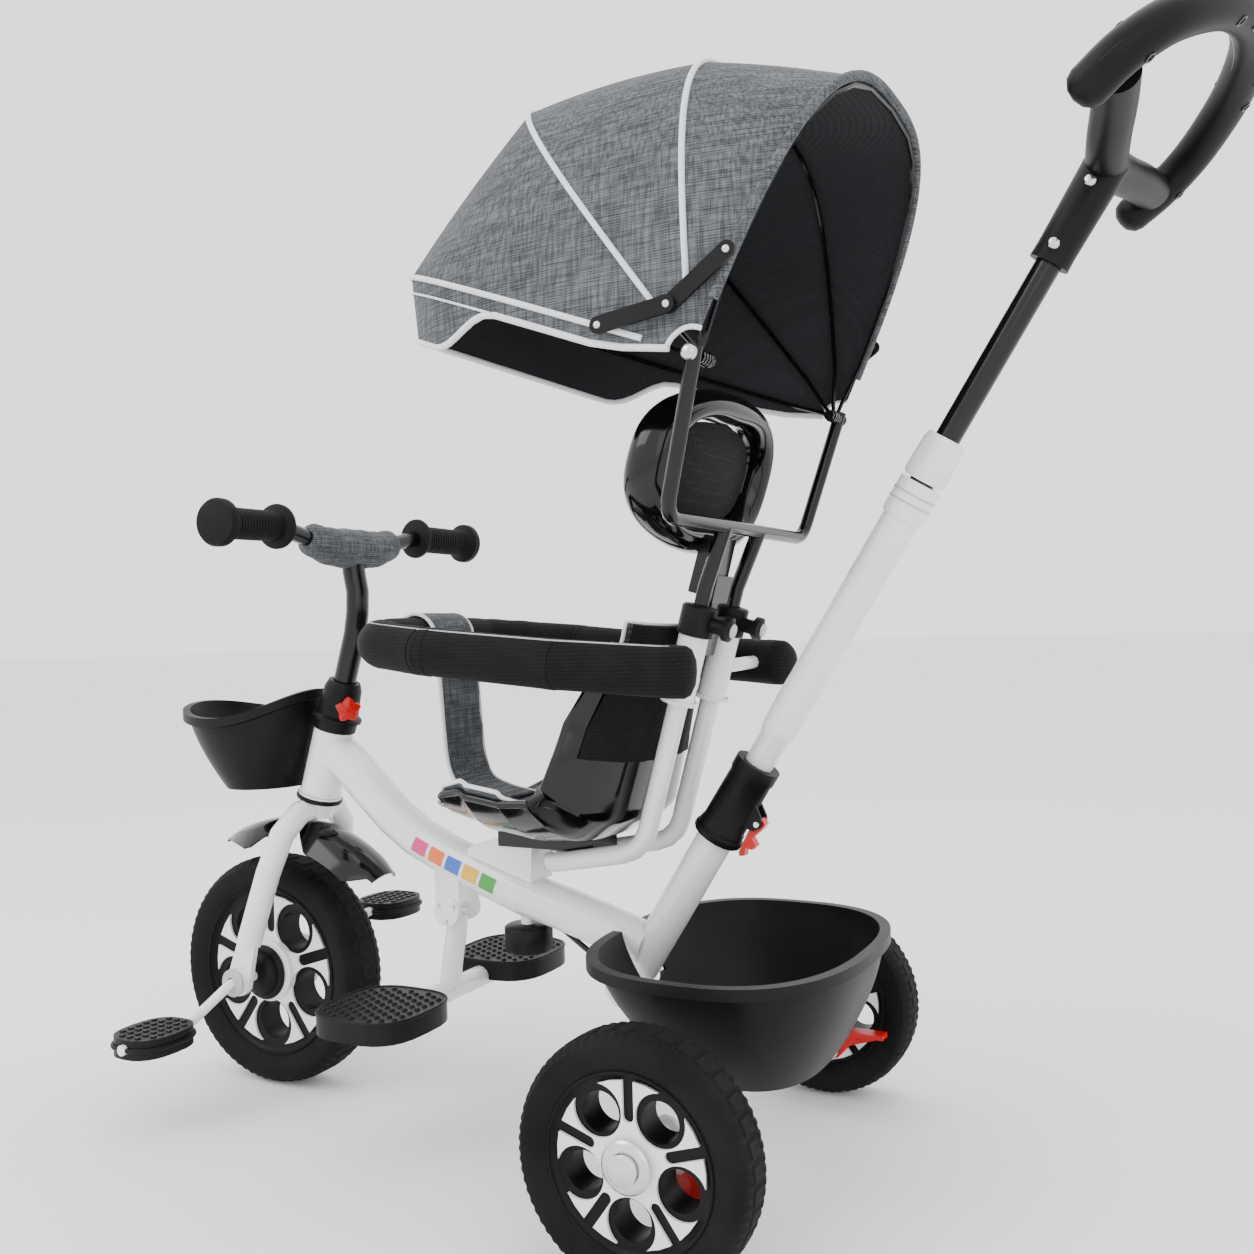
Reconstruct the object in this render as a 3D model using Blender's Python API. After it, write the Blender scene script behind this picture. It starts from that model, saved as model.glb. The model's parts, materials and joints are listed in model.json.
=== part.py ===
"""Children's tricycle with a push bar, a guard ring, a folding canopy and two baskets.

Metres, +Z up, forward is -Y, the rider's left is +X, the ground is Z = 0.
The design is drawn with Y = 0 at the rear axle. The root empty then moves
everything by Y_SHIFT, so that the origin is under the middle of the whole.
"""
import math

import bmesh
import bpy
import numpy as np
from mathutils import Matrix, Vector

# ---------------------------------------------------------------- dimensions
Y_SHIFT = 0.1250            # rear axle to the middle of the overall length
GAP = 0.0003                # clearance kept between touching pieces

FRONT_AXLE = Vector((0.0, -0.5725, 0.127))
FRONT_R, FRONT_W = 0.127, 0.0585          # 10 inch front wheel
REAR_X, REAR_R, REAR_W = 0.2186, 0.0989, 0.050   # 8 inch rear wheels
STEER_DIR = Vector((0.0, 0.301, 0.954)).normalized()

HEAD_S0, HEAD_S1 = 0.2100, 0.2855         # head tube, measured along the steering axis
TUBE_R, TUBE_IN = 0.0220, 0.0196          # main frame tube
PUSH_FOOT = Vector((0.0, -0.1315, 0.1401))
PUSH_DIR = Vector((0.0, 0.5385, 0.8426)).normalized()
SOCKET_R, SOCKET_IN = 0.0175, 0.0152
PUSH_R = 0.0165                           # white outer push tube
INNER_R = 0.0110                          # black telescoping tube

POST_X, POST_R, POST_IN = 0.0360, 0.0095, 0.0078
POST_DIR = Vector((0.0, 0.2800, 0.9600)).normalized()
POST_TOP = Vector((0.0, -0.0266, 0.4938))
SLEEVE_R = 0.0140
CANOPY_PIVOT = Vector((0.0, 0.0451, 0.7125))
CANOPY_X = 0.1787
RIB_R = 0.0022
# rib: angle above forward (degrees), height of the arch, half width, squareness
RIBS = {"a": (21.5, 0.360, 0.180, 3.4), "b": (54.1, 0.324, 0.178, 3.5),
        "c": (88.0, 0.260, 0.178, 4.0), "d": (116.0, 0.256, 0.176, 2.9)}
LINK_1 = Vector((0.0, -0.0306, 0.7423))
LINK_2 = Vector((0.0, 0.0304, 0.7500))
LINK_3 = Vector((0.0, 0.0801, 0.7844))
FOOT_PIVOT = Vector((0.0, -0.3248, 0.2142))
GUARD_R, GUARD_CORE = 0.0225, 0.0065
CRANK_R = 0.0055
CRANK_THROW = Vector((0.0, -0.0235, -0.0365))
PEDAL_X = 0.162

X, Y, Z = Vector((1, 0, 0)), Vector((0, 1, 0)), Vector((0, 0, 1))


def steer(s, x=0.0, off=0.0):
    """Point on the steering axis at distance s from the front axle."""
    back = X.cross(STEER_DIR).normalized()
    return FRONT_AXLE + STEER_DIR * s + X * x + back * off


def push(t, x=0.0, off=0.0):
    """Point on the push bar's axis at distance t from its foot; off is towards the rear."""
    rear = PUSH_DIR.cross(X).normalized()
    return PUSH_FOOT + PUSH_DIR * t + X * x + rear * off


# ---------------------------------------------------------------- scene setup
for item in list(bpy.data.objects):
    bpy.data.objects.remove(item, do_unlink=True)
collection = bpy.context.scene.collection


def material(name, color, rough, metal=0.0):
    m = bpy.data.materials.new(name)
    m.use_nodes = True
    shader = m.node_tree.nodes["Principled BSDF"]
    shader.inputs["Base Color"].default_value = (*color, 1.0)
    shader.inputs["Roughness"].default_value = rough
    shader.inputs["Metallic"].default_value = metal
    m.diffuse_color = (*color, 1.0)
    return m


WHITE = ("white_paint", (0.86, 0.87, 0.88), 0.22, 0.0)
BLACK = ("black_plastic", (0.020, 0.021, 0.023), 0.42, 0.0)
GLOSS = ("gloss_black_plastic", (0.012, 0.012, 0.014), 0.12, 0.0)
BLACKM = ("black_painted_steel", (0.015, 0.015, 0.017), 0.25, 0.0)
RED = ("red_plastic", (0.75, 0.012, 0.015), 0.30, 0.0)
TYRE = ("tyre_foam_rubber", (0.022, 0.022, 0.023), 0.75, 0.0)
GRIP = ("grip_rubber", (0.020, 0.020, 0.021), 0.65, 0.0)
STEEL = ("zinc_steel", (0.62, 0.63, 0.65), 0.28, 1.0)
CHROME = ("chrome", (0.82, 0.83, 0.85), 0.10, 1.0)
FABRIC = ("grey_fabric", (0.20, 0.21, 0.225), 0.90, 0.0)
DARKCLOTH = ("black_fabric", (0.018, 0.018, 0.020), 0.90, 0.0)
MESH = ("black_mesh_fabric", (0.014, 0.014, 0.015), 0.85, 0.0)

# ---------------------------------------------------------------- bodies
# every moving body has an empty on its joint's axis, and its pieces hang from it
ROOT = bpy.data.objects.new("tricycle", None)
ROOT.location = (0.0, Y_SHIFT, 0.0)
collection.objects.link(ROOT)
PIVOT = {}


def body(name, at=(0, 0, 0), parent=None):
    e = bpy.data.objects.new("pivot_" + name, None)
    e.empty_display_size = 0.02
    collection.objects.link(e)
    at = Vector(at)
    e.parent = PIVOT[parent][0] if parent else ROOT
    e.location = at - (PIVOT[parent][1] if parent else Vector((0, 0, 0)))
    PIVOT[name] = (e, at)


LEFT_PEDAL = FRONT_AXLE + CRANK_THROW + X * PEDAL_X
RIGHT_PEDAL = FRONT_AXLE - CRANK_THROW - X * PEDAL_X
PUSH_LATCH = push(0.2320, 0.0, 0.0290)
STAR = steer(0.3170)
BRAKE = Vector((0.1815, 0.0172, 0.0570))
KNOB_TOP = Vector((0.0, -0.2370, 0.2085))

body("frame")
body("steering", steer(HEAD_S1))
body("front_wheel", FRONT_AXLE, "steering")
body("crank", FRONT_AXLE, "steering")
body("left_pedal", LEFT_PEDAL, "crank")
body("right_pedal", RIGHT_PEDAL, "crank")
body("star_knob", STAR, "steering")
body("left_rear_wheel", (REAR_X, 0, REAR_R))
body("right_rear_wheel", (-REAR_X, 0, REAR_R))
body("left_brake", BRAKE)
body("right_brake", (-BRAKE.x, BRAKE.y, BRAKE.z))
body("footrest", FOOT_PIVOT)
body("frame_knob", KNOB_TOP)
body("steering_rod", (0, -0.1444, 0.1727))
body("push_tube", push(0.0))
body("push_latch", PUSH_LATCH)
body("push_lock", push(0.57), "push_tube")
body("push_handle", push(0.75), "push_tube")
body("canopy_frame", POST_TOP)
body("headrest", POST_TOP + POST_DIR * 0.05)
body("left_guard", POST_TOP + X * POST_X)
body("right_guard", POST_TOP - X * POST_X)
body("rib_c", CANOPY_PIVOT, "canopy_frame")
body("rib_b", CANOPY_PIVOT, "rib_c")
body("rib_a", CANOPY_PIVOT, "rib_b")
for side, sx in (("left", 1), ("right", -1)):
    body(side + "_rear_link", LINK_3 + X * sx * 0.19, "canopy_frame")
    body(side + "_front_link", LINK_2 + X * sx * 0.19, side + "_rear_link")


# ---------------------------------------------------------------- mesh tools
def finish(name, bm, mat, owner, smooth=35.0, cutter=False):
    """Turn a bmesh drawn in design coordinates into a named object under its body's empty."""
    bmesh.ops.recalc_face_normals(bm, faces=bm.faces[:])
    me = bpy.data.meshes.new(name)
    bm.to_mesh(me)
    bm.free()
    empty, at = PIVOT[owner]
    me.transform(Matrix.Translation(-at))
    me.shade_smooth()
    me.set_sharp_from_angle(angle=math.radians(smooth))
    ob = bpy.data.objects.new(name, me)
    collection.objects.link(ob)
    ob.parent = empty
    if cutter:
        ob.hide_render = True
        ob.display_type = "WIRE"
    else:
        me.materials.append(material(name + "_" + mat[0], mat[1], mat[2], mat[3]))
    return ob


def copy_of(source, name, owner, turn=None):
    """A second piece that shares the first one's mesh, turned about its own origin."""
    ob = bpy.data.objects.new(name, source.data)
    collection.objects.link(ob)
    ob.parent = PIVOT[owner][0]
    if turn is not None:
        ob.matrix_local = turn
    for mod in source.modifiers:
        if mod.type == "BOOLEAN":
            raise RuntimeError("a copied piece has no cutters of its own")
    return ob


def boolean(ob, tool, op="DIFFERENCE"):
    mod = ob.modifiers.new(op.lower(), "BOOLEAN")
    mod.operation = op
    mod.object = tool
    mod.solver = "EXACT"
    return ob


def cut(ob, name, bm, owner):
    """Take a shape away from a piece with a hidden cutter."""
    return boolean(ob, finish(name, bm, WHITE, owner, cutter=True))


def join(ob, name, bm, owner):
    """Weld a shape to a piece with a hidden tool."""
    return boolean(ob, finish(name, bm, WHITE, owner, cutter=True), "UNION")


def together(*parts):
    """Several separate shapes in one cutter."""
    out = bmesh.new()
    for part in parts:
        keep = {v: out.verts.new(v.co) for v in part.verts}
        for f in part.faces:
            out.faces.new([keep[v] for v in f.verts])
        part.free()
    return out


def bevel(ob, width, segments=2, angle=35):
    mod = ob.modifiers.new("edge", "BEVEL")
    mod.width = width
    mod.segments = segments
    mod.limit_method = "ANGLE"
    mod.angle_limit = math.radians(angle)
    return ob


def loft(rings, closed=False, caps=True):
    """Skin equal rings of points. A ring of one point is a pole."""
    bm = bmesh.new()
    rows = [[bm.verts.new(p) for p in ring] for ring in rings]
    pairs = list(zip(rows[:-1], rows[1:]))
    if closed:
        pairs.append((rows[-1], rows[0]))
    for a, b in pairs:
        n = max(len(a), len(b))
        for i in range(n):
            j = (i + 1) % n
            if len(a) == 1:
                bm.faces.new((a[0], b[j], b[i]))
            elif len(b) == 1:
                bm.faces.new((a[i], a[j], b[0]))
            else:
                bm.faces.new((a[i], a[j], b[j], b[i]))
    if caps and not closed:
        for row in (rows[0], rows[-1]):
            if len(row) > 2:
                bm.faces.new(row)
    return bm


def basis(axis, hint=Z):
    axis = Vector(axis).normalized()
    if abs(axis.dot(hint)) > 0.95:
        hint = X
    u = (hint - axis * axis.dot(hint)).normalized()
    return u, axis.cross(u).normalized(), axis


def lathe(profile, origin, axis, seg=20, closed=None, phase=0.0, lobes=0, depth=0.0, hint=Z):
    """Turn (radius, height) pairs about an axis. A profile that starts and ends at radius 0 is a
    solid; otherwise it is closed on itself, as a ring. lobes adds a fluted edge."""
    u, v, w = basis(axis, hint)
    origin = Vector(origin)
    rings = []
    for r, h, *flute in profile:
        if r <= 1e-9:
            rings.append([origin + w * h])
            continue
        ring = []
        for i in range(seg):
            a = 2 * math.pi * (i + phase) / seg
            rr = r + (depth * math.cos(lobes * a) if lobes and flute and flute[0] else 0.0)
            ring.append(origin + w * h + u * (rr * math.cos(a)) + v * (rr * math.sin(a)))
        rings.append(ring)
    solid = len(rings[0]) == 1 and len(rings[-1]) == 1
    return loft(rings, closed=not solid, caps=False)


def catmull(points, n):
    """A smooth curve through the points, n spans between neighbours."""
    pts = [Vector(p) for p in points]
    ext = [pts[0] * 2 - pts[1]] + pts + [pts[-1] * 2 - pts[-2]]
    out = []
    for i in range(1, len(ext) - 2):
        p0, p1, p2, p3 = ext[i - 1:i + 3]
        for k in range(n):
            t = k / n
            out.append(0.5 * ((2 * p1) + (p2 - p0) * t + (2 * p0 - 5 * p1 + 4 * p2 - p3) * t * t
                              + (3 * p1 - p0 - 3 * p2 + p3) * t ** 3))
    out.append(pts[-1])
    return out


def rounded(points, radius, n=5):
    """A polyline whose corners are arcs of the given bend radius."""
    pts = [Vector(p) for p in points]
    out = [pts[0]]
    for a, b, c in zip(pts[:-2], pts[1:-1], pts[2:]):
        d0, d1 = (a - b).normalized(), (c - b).normalized()
        ang = d0.angle(d1)
        cut = min(radius / math.tan(ang / 2), 0.49 * (a - b).length, 0.49 * (c - b).length)
        rr = cut * math.tan(ang / 2)
        centre = b + (d0 + d1).normalized() * (rr / math.sin(ang / 2))
        p, q = b + d0 * cut, b + d1 * cut
        for k in range(n + 1):
            t = k / n
            e0, e1 = p - centre, q - centre
            turn = e0.angle(e1)
            out.append(centre + (e0 * math.sin((1 - t) * turn) + e1 * math.sin(t * turn)) / math.sin(turn))
    out.append(pts[-1])
    return out


def frames(path, hint, closed=False):
    """Turning frames along a path, without twist."""
    n = len(path)
    tang = []
    for i in range(n):
        a = path[(i - 1) % n] if (closed or i > 0) else path[0]
        b = path[(i + 1) % n] if (closed or i < n - 1) else path[-1]
        tang.append((b - a).normalized())
    u = (hint - tang[0] * tang[0].dot(hint)).normalized()
    out = []
    for t in tang:
        u = (u - t * u.dot(t)).normalized()
        out.append((u.copy(), t.cross(u).normalized(), t))
    return out


def sweep(path, r, seg=12, r_in=None, hint=Z, flat=1.0, ends=None):
    """A round bar or tube along a path. r may be a function of the share of the path.
    flat scales the section across the hint. ends rounds both ends by that length."""
    path = [Vector(p) for p in path]
    fr = frames(path, hint)
    n = len(path) - 1
    rad = r if callable(r) else (lambda s: r)

    def ring(i, rr):
        u, v, _ = fr[i]
        return [path[i] + u * (rr * math.cos(2 * math.pi * k / seg))
                + v * (rr * flat * math.sin(2 * math.pi * k / seg)) for k in range(seg)]
    rings = [ring(i, rad(i / n)) for i in range(n + 1)]
    if r_in is not None:
        rings += [ring(i, r_in) for i in range(n, -1, -1)]
        return loft(rings, closed=True)
    if ends:
        def dome(i, sign):
            u, v, t = fr[i]
            base = rad(0 if i == 0 else 1)
            out = []
            for k in (1, 2):
                a = math.radians(30 * k)
                c = path[i] + t * (sign * ends * math.sin(a))
                rr = base * math.cos(a)
                out.append([c + u * (rr * math.cos(2 * math.pi * q / seg))
                            + v * (rr * flat * math.sin(2 * math.pi * q / seg)) for q in range(seg)])
            out.append([path[i] + t * (sign * ends)])
            return out
        rings = list(reversed(dome(0, -1))) + rings + dome(n, 1)
        return loft(rings, caps=False)
    return loft(rings)


def strip(path, half_width, thick, across=X, normal_hint=Z, taper=None):
    """A flat band along a path, with a rectangular section."""
    path = [Vector(p) for p in path]
    n = len(path) - 1
    rings = []
    for i, p in enumerate(path):
        a = path[max(i - 1, 0)]
        b = path[min(i + 1, n)]
        t = (b - a).normalized()
        w = (across - t * across.dot(t)).normalized()
        m = t.cross(w).normalized()
        hw = half_width * (taper(i / n) if taper else 1.0)
        rings.append([p + w * hw + m * thick / 2, p - w * hw + m * thick / 2,
                      p - w * hw - m * thick / 2, p + w * hw - m * thick / 2])
    return loft(rings)


def plate(outline, thick, origin, u, v, hole=None):
    """A flat plate: a closed outline in (u, v), thickened evenly about its plane."""
    u, v = Vector(u).normalized(), Vector(v).normalized()
    w = u.cross(v)
    origin = Vector(origin)
    bm = bmesh.new()
    lo = [bm.verts.new(origin + u * a + v * b - w * thick / 2) for a, b in outline]
    face = bm.faces.new(lo)
    out = bmesh.ops.extrude_face_region(bm, geom=[face])
    top = [g for g in out["geom"] if isinstance(g, bmesh.types.BMVert)]
    bmesh.ops.translate(bm, verts=top, vec=w * thick)
    return bm


def superellipse(a, b, n, count=32, start=0.0):
    pts = []
    for i in range(count):
        t = 2 * math.pi * i / count + start
        c, s = math.cos(t), math.sin(t)
        pts.append((a * math.copysign(abs(c) ** (2 / n), c), b * math.copysign(abs(s) ** (2 / n), s)))
    return pts


def arc2(cx, cy, r, a0, a1, n):
    return [(cx + r * math.cos(math.radians(a0 + (a1 - a0) * i / n)),
             cy + r * math.sin(math.radians(a0 + (a1 - a0) * i / n))) for i in range(n + 1)]


def cylinder(p, q, r, seg=16, hint=Z):
    p, q = Vector(p), Vector(q)
    return lathe([(0, 0), (r, 0), (r, (q - p).length), (0, (q - p).length)], p, q - p, seg, hint=hint)


# ---------------------------------------------------------------- wheels
def wheel(prefix, owner, centre, radius, width, bead, bore, hub_r, hub_len, seg=28):
    """Foam tyre, moulded rim with five round windows, and the white spoke piece: a disc on each
    face, joined through the middle by the hub."""
    c = Vector(centre)
    rb = radius * bead
    hw = width / 2
    tyre = [(rb, -hw * 0.74), (radius * 0.88, -hw), (radius * 0.965, -hw * 0.84),
            (radius, -hw * 0.40), (radius, hw * 0.40),
            (radius * 0.965, hw * 0.84), (radius * 0.88, hw), (rb, hw * 0.74)]
    # each facet touches the true circle, so the tyre stands on a flat
    grow = 1.0 / math.cos(math.pi / seg)
    tyre = [(r * grow, h) for r, h in tyre]
    finish(prefix + "_tyre", lathe(tyre, c, X, seg, phase=0.5), TYRE, owner)
    ro = rb - GAP
    web = hw * 0.52
    rim = [(hub_r + GAP, -web), (ro - 0.0040, -web), (ro, -hw * 0.74), (ro, hw * 0.74), (ro - 0.0040, web), (hub_r + GAP, web)]
    r = finish(prefix + "_rim", lathe(rim, c, X, seg, phase=0.5), BLACK, owner)
    rd = rb * 0.89
    wins = []
    for k in range(5):
        a = math.radians(72 * k + 36)
        at = c + Vector((0, math.sin(a), math.cos(a))) * (rd * 0.68)
        wins.append(cylinder(at - X * hw, at + X * hw, rd * 0.255, 8))
    cut(r, prefix + "_window_cut", together(*wins), owner)
    hub = [(bore, -hub_len), (hub_r * 0.72, -hub_len), (hub_r, -hub_len + 0.004), (hub_r, hub_len - 0.004),
           (hub_r * 0.72, hub_len), (bore, hub_len)]
    d = finish(prefix + "_spoke_disc", lathe(hub, c, X, 12), WHITE, owner)
    for side, sgn in (("outer", 1), ("inner", -1)):
        join(d, f"{prefix}_{side}_face_tool", disc_mesh(disc_outline(rd, 0.33, 0.075), hub_r - 0.0020, 0.0026,
             c + X * sgn * (web + 0.0013 + GAP), sgn), owner)


def disc_outline(rd, bite, slot):
    """Outer edge of a wheel disc: five double spokes, with a round bite between spokes and a
    narrow slot down the middle of each spoke. Angles from the top, radii in metres."""
    pts = []
    bc, br = rd * 0.72, rd * bite
    for k in range(5):
        base = 72.0 * k
        # the slot in the middle of this spoke
        h = rd * slot
        a_edge = math.degrees(math.asin(h / rd))
        inner = rd * 0.50
        slot_pts = [(rd, base - a_edge)]
        for q in range(3):
            sx = -h * math.cos(math.radians(90 * q))
            sy = inner - h * math.sin(math.radians(90 * q)) + h
            slot_pts.append((math.hypot(sx, sy), base + math.degrees(math.atan2(sx, sy))))
        slot_pts.append((rd, base + a_edge))
        pts += slot_pts
        # the bite half way to the next spoke: circle of radius br about bc, open at the edge
        mid = base + 36.0
        half = math.degrees(math.acos(max(-1, min(1, (bc * bc + rd * rd - br * br) / (2 * bc * rd)))))
        pts.append((rd, base + a_edge + (36 - half - a_edge) / 2))
        start = math.atan2(-rd * math.sin(math.radians(half)), rd * math.cos(math.radians(half)) - bc)
        end = -start
        full = 2 * math.pi - (end - start)
        for q in range(6):
            ang = start - full * q / 5
            x, y = br * math.sin(ang), bc + br * math.cos(ang)
            pts.append((math.hypot(x, y), mid + math.degrees(math.atan2(x, y))))
        pts.append((rd, base + 36 + half + (36 - half - a_edge) / 2))
    return pts


def disc_mesh(outline, rin, thick, centre, s):
    """Plate between the outline and a round hole, both sampled at the same count."""
    n = len(outline)
    outer = [(r * math.sin(math.radians(a)), r * math.cos(math.radians(a))) for r, a in outline]
    inner = [(rin * math.sin(2 * math.pi * i / 10), rin * math.cos(2 * math.pi * i / 10)) for i in range(10)]
    bm = bmesh.new()
    centre = Vector(centre)
    ov = [bm.verts.new(centre + Y * y + Z * z) for y, z in outer]
    iv = [bm.verts.new(centre + Y * y + Z * z) for y, z in inner]
    edges = [bm.edges.new((ov[i], ov[(i + 1) % n])) for i in range(n)]
    edges += [bm.edges.new((iv[i], iv[(i + 1) % 10])) for i in range(10)]
    bmesh.ops.triangle_fill(bm, use_beauty=True, use_dissolve=False, edges=edges)
    out = bmesh.ops.extrude_face_region(bm, geom=bm.faces[:])
    top = [g for g in out["geom"] if isinstance(g, bmesh.types.BMVert)]
    bmesh.ops.translate(bm, verts=top, vec=X * s * thick)
    bmesh.ops.translate(bm, verts=bm.verts[:], vec=-X * s * thick / 2)
    return bm


wheel("front", "front_wheel", FRONT_AXLE, FRONT_R, FRONT_W, 0.744, CRANK_R + 2 * GAP, 0.0340, 0.0280)
for side, sx in (("left", 1), ("right", -1)):
    wheel(side + "_rear", side + "_rear_wheel", (sx * REAR_X, 0, REAR_R), REAR_R, REAR_W, 0.716,
          0.0050 + 2 * GAP, 0.0150, 0.0200)

# ---------------------------------------------------------------- frame
SPINE = [(0, -0.4820, 0.3738), (0, -0.4647, 0.3616), (0, -0.4365, 0.3353), (0, -0.4043, 0.3068),
         (0, -0.3714, 0.2850), (0, -0.3348, 0.2690), (0, -0.2930, 0.2535), (0, -0.2420, 0.2360),
         (0, -0.1939, 0.2240), (0, -0.1477, 0.2110), (0, -0.1010, 0.1960)]
# welded frame: bent main tube, head tube, seat bracket, footrest ears and knob boss
main = finish("main_frame", sweep(SPINE, TUBE_R, 14, TUBE_IN, hint=X), WHITE, "frame")
cut(main, "socket_seat_cut", cylinder(push(-0.05), push(0.2), SOCKET_R + GAP, 22), "frame")
join(main, "head_tube_tool", cylinder(steer(HEAD_S0), steer(HEAD_S1), 0.0220, 24), "frame")
cut(main, "head_bore_cut", cylinder(steer(0.15), steer(0.35), 0.0162, 20), "frame")
bracket = [[Vector((x, y, z)) for y, z in ((-0.2950, 0.2747), (-0.2200, 0.2510), (-0.2180, 0.2860),
                                           (-0.2860, 0.2860), (-0.2960, 0.2800))] for x in (-0.0200, 0.0200)]
join(main, "seat_bracket_tool", loft(bracket), "frame")
for side, sx in (("left", 1), ("right", -1)):
    ear = arc2(0.0, 0.0, 0.0160, 200, 340, 7) + [(0.0150, 0.0326), (-0.0150, 0.0443)]
    join(main, side + "_ear_tool", plate(ear, 0.0028, FOOT_PIVOT + X * sx * 0.0165, Y, Z), "frame")
join(main, "boss_tool", cylinder((0, -0.2370, 0.2058), (0, -0.2370, 0.2160), 0.0075, 12), "frame")
cut(main, "rod_slot_cut", plate([(-0.0070, -0.050), (0.0070, -0.050), (0.0070, 0.050), (-0.0070, 0.050)],
                                0.044, (0, -0.1800, 0.1900), X, Y), "frame")
pin = [(0, -0.0205), (0.0060, -0.0205), (0.0060, -0.0170), (0.0030, -0.0170), (0.0030, 0.0170), (0.0060, 0.0170), (0.0060, 0.0205), (0, 0.0205)]
join(main, "footrest_pin_tool", lathe(pin, FOOT_PIVOT, X, 10), "frame")

socket = lathe([(SOCKET_IN, 0.012), (SOCKET_R, 0.012), (SOCKET_R, 0.235), (SOCKET_IN, 0.235)], PUSH_FOOT, PUSH_DIR, 16, hint=X)
sock = finish("push_socket", socket, WHITE, "frame")
ring = [(0, 0.0), (0.0150, 0.0), (0.0190, 0.0035), (0.0200, 0.0035), (0.0200, 0.0125), (0, 0.0125)]
join(sock, "socket_cap_tool", lathe(ring, PUSH_FOOT, PUSH_DIR, 16, hint=X), "frame")

# rear axle: beam, strut up to the push socket, end lugs, wheel bolts with domed nuts, brake rivets
beam = finish("rear_axle", cylinder((-0.1740, 0, 0.0860), (0.1740, 0, 0.0860), 0.0125, 16), WHITE, "frame")
strut = sweep(rounded([push(0.022), Vector((0, -0.0700, 0.0930)), Vector((0, 0.0, 0.0860))], 0.060, 3), 0.0120, 12, hint=X)
join(beam, "strut_tool", strut, "frame")
for side, sx in (("left", 1), ("right", -1)):
    lug = arc2(0.0, REAR_R, 0.0150, 180, 0, 6) + [(0.0250, 0.0700)] + arc2(BRAKE.y, BRAKE.z, 0.0100, 20, -140, 4) + [(-0.0140, 0.0700)]
    join(beam, side + "_lug_tool", plate(lug, 0.0040, (sx * 0.1730, 0, 0), Y, Z), "frame")
    x0 = 0.1740
    xn = REAR_X + 0.0200 + 2 * GAP
    bolt = [(0, x0), (0.0090, x0), (0.0090, 0.1950), (0.0050, 0.1975), (0.0050, xn), (0.0115, xn), (0.0110, xn + 0.0040),
            (0.0065, xn + 0.0075), (0, xn + 0.0080)]
    join(beam, side + "_bolt_tool", lathe(bolt, (0, 0, REAR_R), X * sx, 12), "frame")
    rivet = [(0, 0.1730), (0.0028, 0.1730), (0.0028, 0.1850), (0.0050, 0.1850), (0.0046, 0.1868), (0, 0.1868)]
    join(beam, side + "_rivet_tool", lathe(rivet, (0, BRAKE.y, BRAKE.z), X * sx, 8), "frame")
cut(beam, "strut_socket_cut", cylinder(push(-0.01), push(0.3), 0.0200 + GAP, 20, hint=X), "frame")

# basket foot under the rear basket, bolted on the strut
# ---------------------------------------------------------------- seat posts
def post_at(sx, s, x=0.0, off=0.0):
    """Point on a seat post's straight upper part, s above the sleeve's top."""
    rear = POST_DIR.cross(X).normalized()
    return POST_TOP + X * (sx * POST_X + x) + POST_DIR * s + rear * off


# one bent tube: up one side, down the other, joined across under the seat
lowl, lowr = post_at(1, -0.2080), post_at(-1, -0.2080)
route = rounded([post_at(1, 0.0), lowl, Vector((0.0360, -0.2000, 0.2740)), Vector((-0.0360, -0.2000, 0.2740)), lowr, post_at(-1, 0.0)], 0.033, 3)
finish("seat_post_tube", sweep(route, POST_R, 10, POST_IN, hint=X), WHITE, "frame")
REARWARD = POST_DIR.cross(X).normalized()
ring_c = [(0.0088, 0.0004), (0.0168, 0.0004), (0.0168, 0.0260), (0.0150, 0.0275), (0.0088, 0.0275)]
clamp = finish("post_clamp", lathe(ring_c, post_at(1, 0), POST_DIR, 12, hint=X), BLACK, "frame")
join(clamp, "clamp_right_tool", lathe(ring_c, post_at(-1, 0), POST_DIR, 12, hint=X), "frame")
join(clamp, "clamp_bridge_tool", plate([(-0.0300, 0.0050), (0.0300, 0.0050), (0.0300, 0.0200), (-0.0300, 0.0200)], 0.0050,
                                       POST_TOP + REARWARD * 0.0118, X, POST_DIR), "frame")
for side, sx in (("left", 1), ("right", -1)):
    kn = [(0, 0.0120), (0.0070, 0.0120), (0.0070, 0.0250), (0.0110, 0.0270, 1), (0.0110, 0.0330, 1), (0.0070, 0.0355), (0, 0.0360)]
    join(clamp, side + "_clamp_knob_tool", lathe(kn, post_at(sx, 0.0130), REARWARD, 12, lobes=3, depth=0.0014, hint=X), "frame")

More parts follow.
